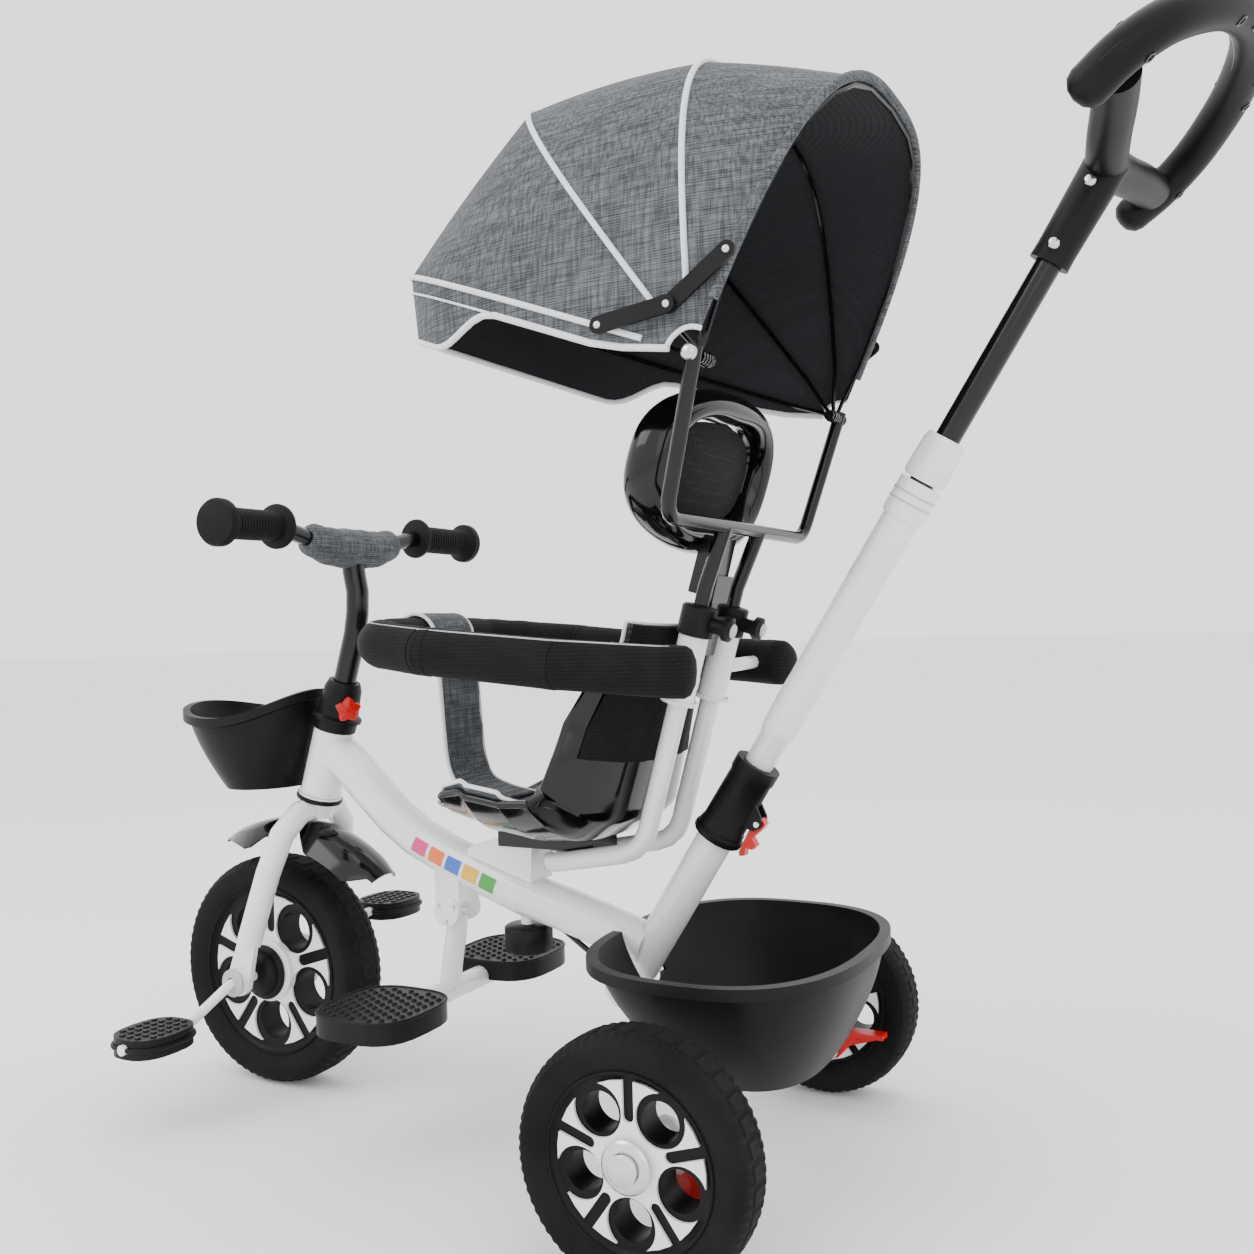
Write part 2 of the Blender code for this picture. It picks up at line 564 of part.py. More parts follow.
# ---------------------------------------------------------------- seat
def seat_section(u, v, lift=0.0):
    """Seat surface. u runs from the front lip (0) over the pan to the top of the back (1),
    v runs across from -1 to 1. lift moves along the surface's normal, towards the rider."""
    key = [(0.00, -0.2740, 0.3300, 0.100), (0.10, -0.2640, 0.3230, 0.118), (0.25, -0.2250, 0.3100, 0.132),
           (0.42, -0.1750, 0.3040, 0.138), (0.56, -0.1340, 0.3060, 0.138), (0.68, -0.1010, 0.3250, 0.130),
           (0.80, -0.0840, 0.3800, 0.115), (0.90, -0.0710, 0.4350, 0.098), (1.00, -0.0590, 0.4830, 0.088)]
    us = [k[0] for k in key]
    y, z, w = (float(np.interp(u, us, [k[i] for k in key])) for i in (1, 2, 3))
    if u > 1.0:
        y, z = y + 0.011 * (u - 1.0) / 0.1, z + 0.048 * (u - 1.0) / 0.1
    e = 0.02
    u = min(u, 1.0)
    y0, z0 = (float(np.interp(max(u - e, 0), us, [k[i] for k in key])) for i in (1, 2))
    y1, z1 = (float(np.interp(min(u + e, 1), us, [k[i] for k in key])) for i in (1, 2))
    t = Vector((0, y1 - y0, z1 - z0)).normalized()
    n = X.cross(t).normalized()
    # the sides curl up, as a bucket
    side = abs(v) ** 3.0
    curl = 0.046 * side * min(1.0, 0.35 + u / 0.30) * (1.0 if u < 0.85 else 1.0 - 0.5 * (u - 0.85) / 0.15)
    p = Vector((v * w, y, z)) + n * curl
    tilt = (n - X * (math.copysign(1, v) * 0.75 * abs(v) ** 2.0)).normalized() if abs(v) > 1e-6 else n
    return p + tilt * lift


def sheet_solid(low, high, us, vs):
    """Closed thin solid between two lifts of the seat surface."""
    bm = bmesh.new()
    a = [[bm.verts.new(seat_section(u, v, low)) for v in vs] for u in us]
    b = [[bm.verts.new(seat_section(u, v, high)) for v in vs] for u in us]
    nu, nv = len(us), len(vs)
    for i in range(nu - 1):
        for j in range(nv - 1):
            bm.faces.new((a[i][j], a[i + 1][j], a[i + 1][j + 1], a[i][j + 1]))
            bm.faces.new((b[i][j], b[i][j + 1], b[i + 1][j + 1], b[i + 1][j]))
    for i in range(nu - 1):
        bm.faces.new((a[i][0], b[i][0], b[i + 1][0], a[i + 1][0]))
        bm.faces.new((a[i][nv - 1], a[i + 1][nv - 1], b[i + 1][nv - 1], b[i][nv - 1]))
    for j in range(nv - 1):
        bm.faces.new((a[0][j], a[0][j + 1], b[0][j + 1], b[0][j]))
        bm.faces.new((a[nu - 1][j], b[nu - 1][j], b[nu - 1][j + 1], a[nu - 1][j + 1]))
    return bm


us = [i / 10 for i in range(11)]
vs = [-1, -0.9, -0.7, -0.4, 0, 0.4, 0.7, 0.9, 1]
finish("seat_shell", sheet_solid(-0.0055, 0.0, us, vs), GLOSS, "frame", 50)
shell = bpy.data.objects["seat_shell"]
join(shell, "seat_mount_tool", plate([(-0.0240, -0.2550), (0.0240, -0.2550), (0.0240, -0.1450), (-0.0240, -0.1450)], 0.0152, (0, 0, 0.2944), X, Y), "frame")
us2 = [i / 10 for i in range(1, 11)] + [1.04]
vs2 = [-0.9, -0.7, -0.4, 0, 0.4, 0.7, 0.9]
cover = finish("seat_cover", sheet_solid(0.0010, 0.0120, us2, vs2), FABRIC, "frame", 50)
vs3 = [-0.9, -0.7, -0.4, 0, 0.4, 0.7, 0.9]
join(cover, "cover_back_tool", sheet_solid(-0.0092, -0.0066, [0.8, 0.9, 1.0, 1.04], vs3), "frame")
join(cover, "cover_top_tool", sheet_solid(-0.0092, 0.0060, [1.010, 1.04], vs3), "frame")

# ---------------------------------------------------------------- guard
for side, sx in (("left", 1), ("right", -1)):
    core_pts = rounded([post_at(sx, -0.0330, sx * 0.0120), Vector((sx * 0.0800, -0.0260, 0.4640)), Vector((sx * 0.1200, -0.0200, 0.4650)),
                        Vector((sx * 0.1320, -0.1200, 0.4720)), Vector((sx * 0.1380, -0.2400, 0.4840)), Vector((sx * 0.1000, -0.3420, 0.4945)), Vector((sx * 0.0120, -0.3450, 0.4970))],
                       0.022, 2)
    sl = [(POST_R + GAP + 0.0002, -0.0640), (SLEEVE_R + 0.0022, -0.0640), (SLEEVE_R + 0.0022, -0.0615), (SLEEVE_R, -0.0600),
          (SLEEVE_R, -0.0006), (POST_R + GAP + 0.0002, -0.0006)]
    arm = finish(side + "_guard_arm", lathe(sl, post_at(sx, 0), POST_DIR, 12, hint=X), WHITE, side + "_guard")
    join(arm, side + "_guard_tube_tool", sweep(core_pts, GUARD_CORE, 8), side + "_guard")
    cut(arm, side + "_sleeve_bore", cylinder(post_at(sx, -0.10), post_at(sx, 0.05), POST_R + GAP, 12, hint=X), side + "_guard")
    pad_pts = [Vector((sx * 0.1130, 0.0, 0.4632)), Vector((sx * 0.1180, -0.0150, 0.4640))]
    pad_pts += rounded([Vector((sx * 0.1200, -0.0300, 0.4650)), Vector((sx * 0.1320, -0.1200, 0.4720)), Vector((sx * 0.1380, -0.2500, 0.4850)),
                        Vector((sx * 0.1150, -0.3440, 0.4945)), Vector((sx * 0.0006, -0.3450, 0.4970))], 0.060, 3)
    pad = finish(side + "_guard_pad", sweep(pad_pts, GUARD_R, 12), MESH, side + "_guard")
    boolean(pad, finish(side + "_pad_cut", sweep(core_pts + [core_pts[-1] + (core_pts[-1] - core_pts[-2]).normalized() * 0.001],
                                                 GUARD_CORE + 2 * GAP, 8), MESH, side + "_guard", cutter=True))

# strap from the seat's front edge up and over the guard
strap = [Vector((0, -0.2860, 0.3500)), Vector((0, -0.3200, 0.3600)), Vector((0, -0.3400, 0.3700)), Vector((0, -0.3440, 0.3860)), Vector((0, -0.3300, 0.4250)), Vector((0, -0.3200, 0.4700))]
top = Vector((0, -0.3450, 0.4970))
for k in range(7):
    a = math.radians(-5 + 190 * k / 6)
    strap.append(top + Vector((0, math.cos(a), math.sin(a))) * (GUARD_R + 0.0028))
strap += [Vector((0, -0.3620, 0.4620)), Vector((0, -0.3480, 0.4250)), Vector((0, -0.3490, 0.3960))]
finish("crotch_strap", strip(catmull(strap, 1), 0.0330, 0.0030), FABRIC, "frame", 50)

# ---------------------------------------------------------------- steering
ring = [(0, 0.1860), (0.0190, 0.1860), (0.0190, HEAD_S0 - 0.0074), (0.0240, HEAD_S0 - 0.0070), (0.0250, HEAD_S0 - 0.0035), (0.0240, HEAD_S0 - GAP),
        (0.0158, HEAD_S0 - GAP), (0.0158, 0.3300), (0.0128, 0.3300), (0.0128, 0.2120), (0, 0.2120)]
fork = finish("fork", lathe(ring, FRONT_AXLE, STEER_DIR, 16), WHITE, "steering")
for side, sx in (("left", 1), ("right", -1)):
    leg = catmull([steer(0.1930, sx * 0.0040), steer(0.1900, sx * 0.0280), steer(0.1680, sx * 0.0480), steer(0.1250, sx * 0.0570), steer(0.0800, sx * 0.0610), steer(0.0440, sx * 0.0640)], 1)
    join(fork, side + "_leg_tool", sweep(leg, 0.0138, 10, hint=Y), "steering")
    # flattened end plate that carries the crank's bearing
    end = plate(arc2(0, 0, 0.0165, 190, 350, 8) + [(0.0120, 0.0500), (-0.0120, 0.0500)], 0.0060, steer(0.0, sx * 0.0650),
                Vector((0, STEER_DIR.z, -STEER_DIR.y)), STEER_DIR)
    join(fork, side + "_end_tool", end, "steering")
    join(fork, side + "_bush_tool", cylinder(FRONT_AXLE + X * sx * 0.0610, FRONT_AXLE + X * sx * 0.0740, 0.0125, 12), "steering")
cut(fork, "fork_bore", cylinder(FRONT_AXLE - X * 0.1, FRONT_AXLE + X * 0.1, CRANK_R + 3 * GAP, 12), "steering")

# mudguard: an arched shell along an arc over the tyre
def mudguard(points, count=11):
    (y0, z0), (y1, z1), (y2, z2) = points
    a = np.array([[2 * (y1 - y0), 2 * (z1 - z0)], [2 * (y2 - y0), 2 * (z2 - z0)]])
    b = np.array([y1 ** 2 - y0 ** 2 + z1 ** 2 - z0 ** 2, y2 ** 2 - y0 ** 2 + z2 ** 2 - z0 ** 2])
    cy, cz = np.linalg.solve(a, b)
    r = math.hypot(y0 - cy, z0 - cz)
    a0, a2 = math.atan2(z0 - cz, y0 - cy), math.atan2(z2 - cz, y2 - cy)
    rings = []
    for i in range(count):
        s = i / (count - 1)
        ang = a0 + (a2 - a0) * s
        cdir = Vector((0, math.cos(ang), math.sin(ang)))
        c = Vector((0, cy, cz)) + cdir * r
        mid = (math.atan2(z1 - cz, y1 - cy) - a0) / (a2 - a0)
        d = abs(s - mid) * abs(a2 - a0) * r
        w = 0.0160 + 0.0210 * min(1.0, max(0.0, (d - 0.016) / 0.030)) ** 0.7
        w *= math.sqrt(max(0.12, min(1.0, s / 0.20))) if s < 0.2 else math.sqrt(max(0.30, min(1.0, (1 - s) / 0.10)))
        drop = 0.0260 * (w / 0.037) ** 1.5
        outer, inner = [], []
        for k in range(7):
            v = -1 + 2 * k / 6
            fall = drop * (abs(v) ** 2.6)
            outer.append(c + X * (w * v) - cdir * fall)
            inner.append(c + X * ((w - 0.0016) * v) - cdir * (fall * 0.98 + 0.0020))
        rings.append(outer + inner[::-1])
    return loft(rings)


finish("front_mudguard", mudguard([(-0.6446, 0.2720), (-0.5408, 0.2980), (-0.4150, 0.2438)]), GLOSS, "steering", 50)

# black collar on the head tube, its clamp knob, the stem and the handlebar
col = [(0.0161, HEAD_S1 + GAP), (0.0235, HEAD_S1 + GAP), (0.0235, 0.2960), (0.0275, 0.2975), (0.0275, 0.3010), (0.0230, 0.3030), (0.0205, 0.3330), (0.0175, 0.3410), (0.0130, 0.3410), (0.0130, 0.3312), (0.0161, 0.3305)]
collar = finish("steering_collar", lathe(col, FRONT_AXLE, STEER_DIR, 16), BLACK, "steering")
KNOB_DIR = Vector((0.50, 0.86, 0.0))
KNOB_DIR = (KNOB_DIR - STEER_DIR * KNOB_DIR.dot(STEER_DIR)).normalized()
star = [(0, 0.0232), (0.0070, 0.0232), (0.0095, 0.0262, 1), (0.0122, 0.0275, 1), (0.0122, 0.0325, 1), (0.0090, 0.0345, 1), (0, 0.0350)]
finish("star_knob", lathe(star, STAR, KNOB_DIR, 20, lobes=5, depth=0.0022), RED, "star_knob")
BAR_MID = Vector((0, -0.4545, 0.5975))
stem = catmull([steer(0.3317), steer(0.3500), steer(0.3950), Vector((0, -0.4495, 0.5270)), Vector((0, -0.4485, 0.5500)), Vector((0, -0.4530, 0.5720)), BAR_MID], 1)
barpts = catmull([(-0.2010, -0.4465, 0.6130), (-0.1100, -0.4550, 0.6150), (-0.0700, -0.4560, 0.6060), (-0.0350, -0.4550, 0.5985), (0, -0.4545, 0.5975),
                  (0.0350, -0.4550, 0.5985), (0.0700, -0.4560, 0.6060), (0.1100, -0.4550, 0.6150), (0.2010, -0.4465, 0.6130)], 1)
bar = finish("handlebar", sweep(barpts, 0.0090, 10, hint=Y), BLACKM, "steering")
boolean(bar, finish("stem_tool", sweep(stem, 0.0125, 12, hint=X), BLACKM, "steering", cutter=True), "UNION")
for side, sx in (("left", 1), ("right", -1)):
    a, b = Vector((sx * 0.1100, -0.4550, 0.6150)), Vector((sx * 0.2010, -0.4465, 0.6130))
    d = (b - a).normalized()
    n = (b - a).length
    g = [(0.0094, 0.0), (0.0200, 0.0), (0.0232, 0.0020), (0.0232, 0.0050), (0.0160, 0.0075), (0.0150, 0.0120)]
    g += [(0.0152, 0.0400), (0.0150, 0.0780), (0.0165, 0.0820), (0.0232, 0.0850), (0.0236, 0.0900), (0.0215, 0.0945), (0.0120, 0.0962), (0, 0.0965), (0, n + GAP), (0.0094, n + GAP)]
    # the grip is a closed sleeve over the bar's end
    prof = [(r, h) for r, h in g if r > 0]
    outer = [(0, 0.0965)] + [(r, h) for r, h in reversed(g[:13])] + [(0.0094, n + GAP), (0, n + GAP)]
    finish(side + "_grip", lathe(outer, a, d, 14), GRIP, "steering")
cov = catmull([(-0.0640, -0.4560, 0.6050), (-0.0350, -0.4550, 0.5985), (0, -0.4545, 0.5975), (0.0350, -0.4550, 0.5985), (0.0640, -0.4560, 0.6050)], 1)
cover = finish("handlebar_cover", sweep(cov, lambda s: 0.0170 + 0.0050 * math.sin(math.pi * s), 12, 0.0102, hint=Y), FABRIC, "steering")
cut(cover, "cover_cut", sweep(stem + [BAR_MID + Z * 0.0050], 0.0145, 12, hint=X), "steering")

# ---------------------------------------------------------------- front basket
def tub(rim, floor, rim_z, floor_z, levels, wall, lip, seg=28, notch=None):
    """Basket: outer wall from rim to floor, inner wall back up, with a rolled lip.
    rim and floor are (centre x, centre y, half x, half y, squareness)."""
    def ring(s, off, z_extra=0.0):
        cx, cy = rim[0] + (floor[0] - rim[0]) * s, rim[1] + (floor[1] - rim[1]) * s
        k = s ** 1.6
        ax, ay = rim[2] + (floor[2] - rim[2]) * k - off, rim[3] + (floor[3] - rim[3]) * k - off
        out = []
        for i in range(seg):
            t = 2 * math.pi * i / seg
            c, sn = math.cos(t), math.sin(t)
            x = cx + ax * math.copysign(abs(c) ** (2 / rim[4]), c)
            y = cy + ay * math.copysign(abs(sn) ** (2 / rim[4]), sn)
            zr = rim_z(t)
            out.append(Vector((x, y, zr + (floor_z - zr) * s + z_extra)))
        return out
    rings = [ring(0, wall, 0.0), ring(0, -lip, 0.0), ring(0, -lip, -0.0100), ring(0.04, 0.0, -0.0080)]
    rings += [ring((i + 1) / levels, 0.0) for i in range(levels)]
    bottom = rings[-1]
    inner = [ring((levels - i) / levels, wall, wall if i == 0 else wall * (levels - i) / levels) for i in range(levels)]
    bm = bmesh.new()
    outer_rows = [[bm.verts.new(p) for p in r] for r in rings]
    inner_rows = [[bm.verts.new(p) for p in r] for r in inner]
    rows = outer_rows
    for a, b in zip(rows[:-1], rows[1:]):
        for i in range(seg):
            bm.faces.new((a[i], a[(i + 1) % seg], b[(i + 1) % seg], b[i]))
    bm.faces.new(rows[-1])
    rows = inner_rows + [outer_rows[0]]
    for a, b in zip(rows[:-1], rows[1:]):
        for i in range(seg):
            bm.faces.new((a[i], a[(i + 1) % seg], b[(i + 1) % seg], b[i]))
    bm.faces.new(inner_rows[0])
    return bm


def front_rim(t):
    """Wavy rim: high at the nose and at the collar, low at the sides."""
    return 0.4155 + (0.0145 if math.sin(t) < 0 else 0.0285) * math.sin(t) ** 2


fb = finish("front_basket", tub((0, -0.5950, 0.0760, 0.0850, 2.05), (0, -0.5830, 0.0520, 0.0430, 2.05), front_rim, 0.3340, 3, 0.0028, 0.0050, 20), BLACK, "steering", 50)
boolean(fb, finish("basket_head_clear", cylinder(steer(0.18), steer(0.40), 0.0280, 20), BLACK, "steering", cutter=True))

# ---------------------------------------------------------------- crank and pedals
L = FRONT_AXLE
thr = CRANK_THROW
cr = rounded([L - thr - X * 0.2030, L - thr - X * 0.1180, L - X * 0.0790, L + X * 0.0790, L + thr + X * 0.1180, L + thr + X * 0.2030], 0.012, 3)
finish("crank_axle", sweep(cr, CRANK_R, 12), WHITE, "crank")
for side, sx, at in (("left", 1, LEFT_PEDAL), ("right", -1, RIGHT_PEDAL)):
    out = superellipse(0.0380, 0.0330, 2.6, 24)
    bm = plate(out, 0.0200, at, X, Y)
    ped = finish(side + "_pedal_body", bm, BLACK, side + "_pedal")
    boolean(ped, finish(side + "_pedal_bore", cylinder(at - X * 0.06, at + X * 0.06, CRANK_R + 3 * GAP, 12), BLACK, side + "_pedal", cutter=True))

# ---------------------------------------------------------------- footrest
fp = Vector((0, -0.3380, 0.1260))
fr = finish("footrest_post", sweep([FOOT_PIVOT + Vector((0, 0.001, -0.006)), fp], 0.0110, 14, hint=X), WHITE, "footrest")
boolean(fr, finish("foot_cross", cylinder((-0.0900, fp.y, fp.z), (0.0900, fp.y, fp.z), 0.0115, 14), WHITE, "footrest", cutter=True), "UNION")
boolean(fr, finish("foot_bore", cylinder(FOOT_PIVOT - X * 0.03, FOOT_PIVOT + X * 0.03, 0.0030 + GAP, 12), WHITE, "footrest", cutter=True))
for side, sx in (("left", 1), ("right", -1)):
    out = superellipse(0.0570, 0.0550, 3.0, 28)
    pl = finish(side + "_foot_plate", plate(out, 0.0200, (sx * 0.1120, -0.3350, 0.1330), X, Y), BLACK, "footrest")
    boolean(pl, finish(side + "_plate_bore", cylinder((sx * 0.04, fp.y, fp.z), (sx * 0.0906, fp.y, fp.z), 0.0115 + GAP, 14), BLACK, "footrest", cutter=True))

# ---------------------------------------------------------------- knob and steering rod
knob = [(0, 0.1780), (0.0220, 0.1780), (0.0245, 0.1800, 1), (0.0245, 0.2020, 1), (0.0215, 0.2050), (0, 0.2052)]
finish("frame_knob", lathe(knob, (0, -0.2370, 0), Z, 20, lobes=10, depth=0.0008), BLACK, "frame_knob")
rod = catmull([(0, -0.4450, 0.3440), (0, -0.4043, 0.3050), (0, -0.3714, 0.2820), (0, -0.3348, 0.2650), (0, -0.2930, 0.2490), (0, -0.2420, 0.2290),
               (0, -0.2042, 0.2090), (0, -0.1800, 0.1930), (0, -0.1600, 0.1800)], 1)
finish("steering_rod", sweep(rod, 0.0030, 8, hint=X), BLACKM, "steering_rod")

# ---------------------------------------------------------------- rear basket
def rear_rim(t):
    return 0.2140


REAR_TUB = ((0, -0.0020, 0.1550, 0.1170, 2.6), (0, 0.0140, 0.0900, 0.0620, 2.4))
rb = finish("rear_basket", tub(REAR_TUB[0], REAR_TUB[1], rear_rim, 0.1080, 3, 0.0028, 0.0070, 24), BLACK, "frame", 50)
cut(rb, "basket_tube_notch", plate([(-0.0245, -0.1500), (0.0245, -0.1500), (0.0245, -0.0860), (-0.0245, -0.0860)], 0.1100, (0, 0, 0.2230), X, Y), "frame")
boolean(rb, finish("basket_socket_clear", cylinder(push(-0.02), push(0.40), 0.0210, 16, hint=X), BLACK, "frame", cutter=True))

# ---------------------------------------------------------------- brakes
for side, sx in (("left", 1), ("right", -1)):
    c = Vector((sx * BRAKE.x, BRAKE.y, BRAKE.z))
    pts = [(0.0600, 0.0185), (0.0585, 0.0235), (0.0060, 0.0230), (0.0, 0.0150), (-0.0240, 0.0100), (-0.0270, 0.0070), (-0.0090, -0.0060), (0.0, -0.0115), (0.0090, -0.0080), (0.0220, 0.0060)]
    lever = finish(side + "_brake_lever", plate(pts, 0.0060, c, Y, Z), RED, side + "_brake")
    tab = finish(side + "_tab_tool", plate([(0.0080, -0.0030), (0.0600, -0.0030), (0.0600, 0.0150), (0.0080, 0.0150)], 0.0040,
                                           c + Vector((0, 0, 0.0215)), Y, X * -sx), RED, side + "_brake", cutter=True)
    boolean(lever, tab, "UNION")
    boolean(lever, finish(side + "_brake_bore", cylinder(c - X * 0.01, c + X * 0.01, 0.0028 + GAP, 12), RED, side + "_brake", cutter=True))

# ---------------------------------------------------------------- push bar
col = [(SOCKET_R + GAP, 0.1970), (0.0235, 0.1970), (0.0245, 0.1990), (0.0245, 0.2030), (0.0225, 0.2050), (0.0225, 0.2090), (0.0212, 0.2110), (0.0205, 0.2640), (0.0218, 0.2660), (0.0218, 0.2784),
       (0.0145, 0.2784), (0.0145, 0.2360), (SOCKET_R + GAP, 0.2360)]
collar = finish("push_collar", lathe(col, PUSH_FOOT, PUSH_DIR, 16, hint=X), BLACK, "frame")
RR = PUSH_DIR.cross(X).normalized()
for k, sx in enumerate((1, -1)):
    ear = plate([(0.0180, -0.0100), (0.0290, -0.0075), (0.0340, 0.0), (0.0290, 0.0075), (0.0180, 0.0150)], 0.0030, push(0.2320, sx * 0.0070), RR, PUSH_DIR)
    boolean(collar, finish(f"latch_ear_{k}", ear, BLACK, "frame", cutter=True), "UNION")
lev = [(0.0060, 0.0035), (0.0, 0.0060), (-0.0055, 0.0030), (-0.0050, -0.0060), (-0.0025, -0.0330), (0.0, -0.0360), (0.0040, -0.0330), (0.0010, -0.0260), (0.0075, -0.0240), (0.0085, -0.0185), (0.0015, -0.0150), (0.0055, -0.0030)]
finish("push_latch", plate(lev, 0.0100, PUSH_LATCH, RR, PUSH_DIR), RED, "push_latch")
tube = [(0.0118, 0.0300), (0.0138, 0.0300), (0.0138, 0.3080), (0.0155, 0.3110), (PUSH_R, 0.3200), (PUSH_R, 0.5336),
        (0.0185, 0.5340), (0.0192, 0.5380), (0.0192, 0.5640), (0.0185, 0.5676), (0.0118, 0.5680)]
finish("push_tube", lathe(tube, PUSH_FOOT, PUSH_DIR, 16, hint=X), WHITE, "push_tube")
up = [(INNER_R + GAP, 0.5700), (0.0170, 0.5700), (0.0190, 0.5740, 1), (0.0180, 0.6050, 1), (0.0165, 0.6106), (INNER_R + GAP, 0.6106)]
finish("lock_nut", lathe(up, PUSH_FOOT, PUSH_DIR, 24, lobes=6, depth=0.0009, hint=X), WHITE, "push_lock")
finish("inner_push_tube", lathe([(0.0090, 0.5300), (INNER_R, 0.5300), (INNER_R, 0.8080), (0.0090, 0.8080)], PUSH_FOOT, PUSH_DIR, 16, hint=X), BLACKM, "push_handle")
# joint block on top of the tube, with its screw bosses
VD = Vector((0, 0.8031, 0.5958)).normalized()
NN = X.cross(VD).normalized()
JOIN = Vector((0, 0.3345, 0.8640))
blk = lathe([(0, 0.7690), (0.0170, 0.7690), (0.0165, 0.7800), (0.0180, 0.8560), (0, 0.8600)], PUSH_FOOT, PUSH_DIR, 14, hint=X)
yoke = finish("push_handle", blk, BLACK, "push_handle")


def loop_pt(x, v, lift=0.0):
    return JOIN + X * x + VD * v + NN * lift


arm = catmull([loop_pt(-0.1330, 0.0200), loop_pt(-0.0900, 0.0120), loop_pt(-0.0400, 0.0), loop_pt(0, -0.0060), loop_pt(0.0400, 0.0), loop_pt(0.0900, 0.0120), loop_pt(0.1330, 0.0200)], 1)
boolean(yoke, finish("arm_tool", sweep(arm, 0.0165, 12, hint=NN), BLACK, "push_handle", cutter=True), "UNION")
half = [(0.1500, -0.0020), (0.1520, 0.0280), (0.1380, 0.0600), (0.1070, 0.0880), (0.0720, 0.1080), (0.0320, 0.1205), (0, 0.1235)]
ctrl = [loop_pt(x, v) for x, v in half] + [loop_pt(-x, v) for x, v in reversed(half[:-1])]
loop_path = catmull(ctrl, 1)
join(yoke, "loop_tool", sweep(loop_path, 0.0160, 12, hint=NN, ends=0.012), "push_handle")
cut(yoke, "handle_bore", cylinder(push(0.70), push(0.8084), INNER_R + GAP, 18, hint=X), "push_handle")

# ---------------------------------------------------------------- canopy frame
ub = [Vector((CANOPY_X, 0.0472, 0.7190)), Vector((0.1600, 0.0085, 0.5900)), Vector((-0.1600, 0.0085, 0.5900)), Vector((-CANOPY_X, 0.0472, 0.7190))]
upath = rounded(ub, 0.018, 3)
ufr = finish("canopy_frame", sweep(upath, 0.0065, 10, hint=Y), BLACKM, "canopy_frame")
for side, sx in (("left", 1), ("right", -1)):
    piv = [(0, 0.1475), (0.0055, 0.1475), (0.0055, 0.1500), (0.0028, 0.1500), (0.0028, 0.1868), (0.0062, 0.1868), (0.0050, 0.1890), (0, 0.1895)]
    join(ufr, side + "_rivet_join", lathe(piv, CANOPY_PIVOT, X * sx, 8), "canopy_frame")
    join(ufr, side + "_post_join", sweep([post_at(sx, -0.0450), post_at(sx, 0.0450), Vector((sx * 0.0403, 0.0085, 0.5900))], 0.0072, 10, hint=X), "canopy_frame")

# canopy ribs: an eyelet on each pivot rivet, then an arch
LAYER = {"d": 0.1690, "c": 0.1640, "b": 0.1590, "a": 0.1540}
OWNER = {"d": "canopy_frame", "c": "rib_c", "b": "rib_b", "a": "rib_a"}


def rib_dir(phi):
    return Vector((0, -math.cos(math.radians(phi)), math.sin(math.radians(phi))))


def arch_xy(h, a, n, count, t0=0.0):
    """Half arch as (x, rise) pairs from the foot to the crown."""
    out = []
    for i in range(count + 1):
        t = t0 + (math.pi / 2 - t0) * i / count
        out.append((a * abs(math.cos(t)) ** (2 / n), h * abs(math.sin(t)) ** (2 / n)))
    return out


for key, (phi, h, a, n) in RIBS.items():
    d = rib_dir(phi)
    xe = LAYER[key]
    side_pts = [(xe, 0.0040), (xe, 0.0140), (a, 0.0560)] + [(x, r) for x, r in arch_xy(h, a, n, 8) if r > 0.075]
    full = side_pts + [(-x, r) for x, r in reversed(side_pts[:-1])]
    path = [CANOPY_PIVOT + X * x + d * r for x, r in full]
    arch = sweep(path, RIB_R, 6, hint=X.cross(d))
    eyes = together(*[cylinder(CANOPY_PIVOT + X * (sx * xe - 0.0012), CANOPY_PIVOT + X * (sx * xe + 0.0012), 0.0062, 10) for sx in (1, -1)])
    bores = together(*[cylinder(CANOPY_PIVOT + X * (sx * xe - 0.0035), CANOPY_PIVOT + X * (sx * xe + 0.0035), 0.0028 + GAP, 10) for sx in (1, -1)])
    if key == "d":
        # the rear rib is fixed to the frame
        join(ufr, "rib_d_tool", arch, "canopy_frame")
        join(ufr, "rib_d_eyes", eyes, "canopy_frame")
        bores.free()
    else:
        rib = finish("canopy_rib_" + {"a": "front", "b": "middle", "c": "rear"}[key], arch, BLACKM, OWNER[key])
        join(rib, key + "_eyes", eyes, OWNER[key])
        cut(rib, key + "_bores", bores, OWNER[key])


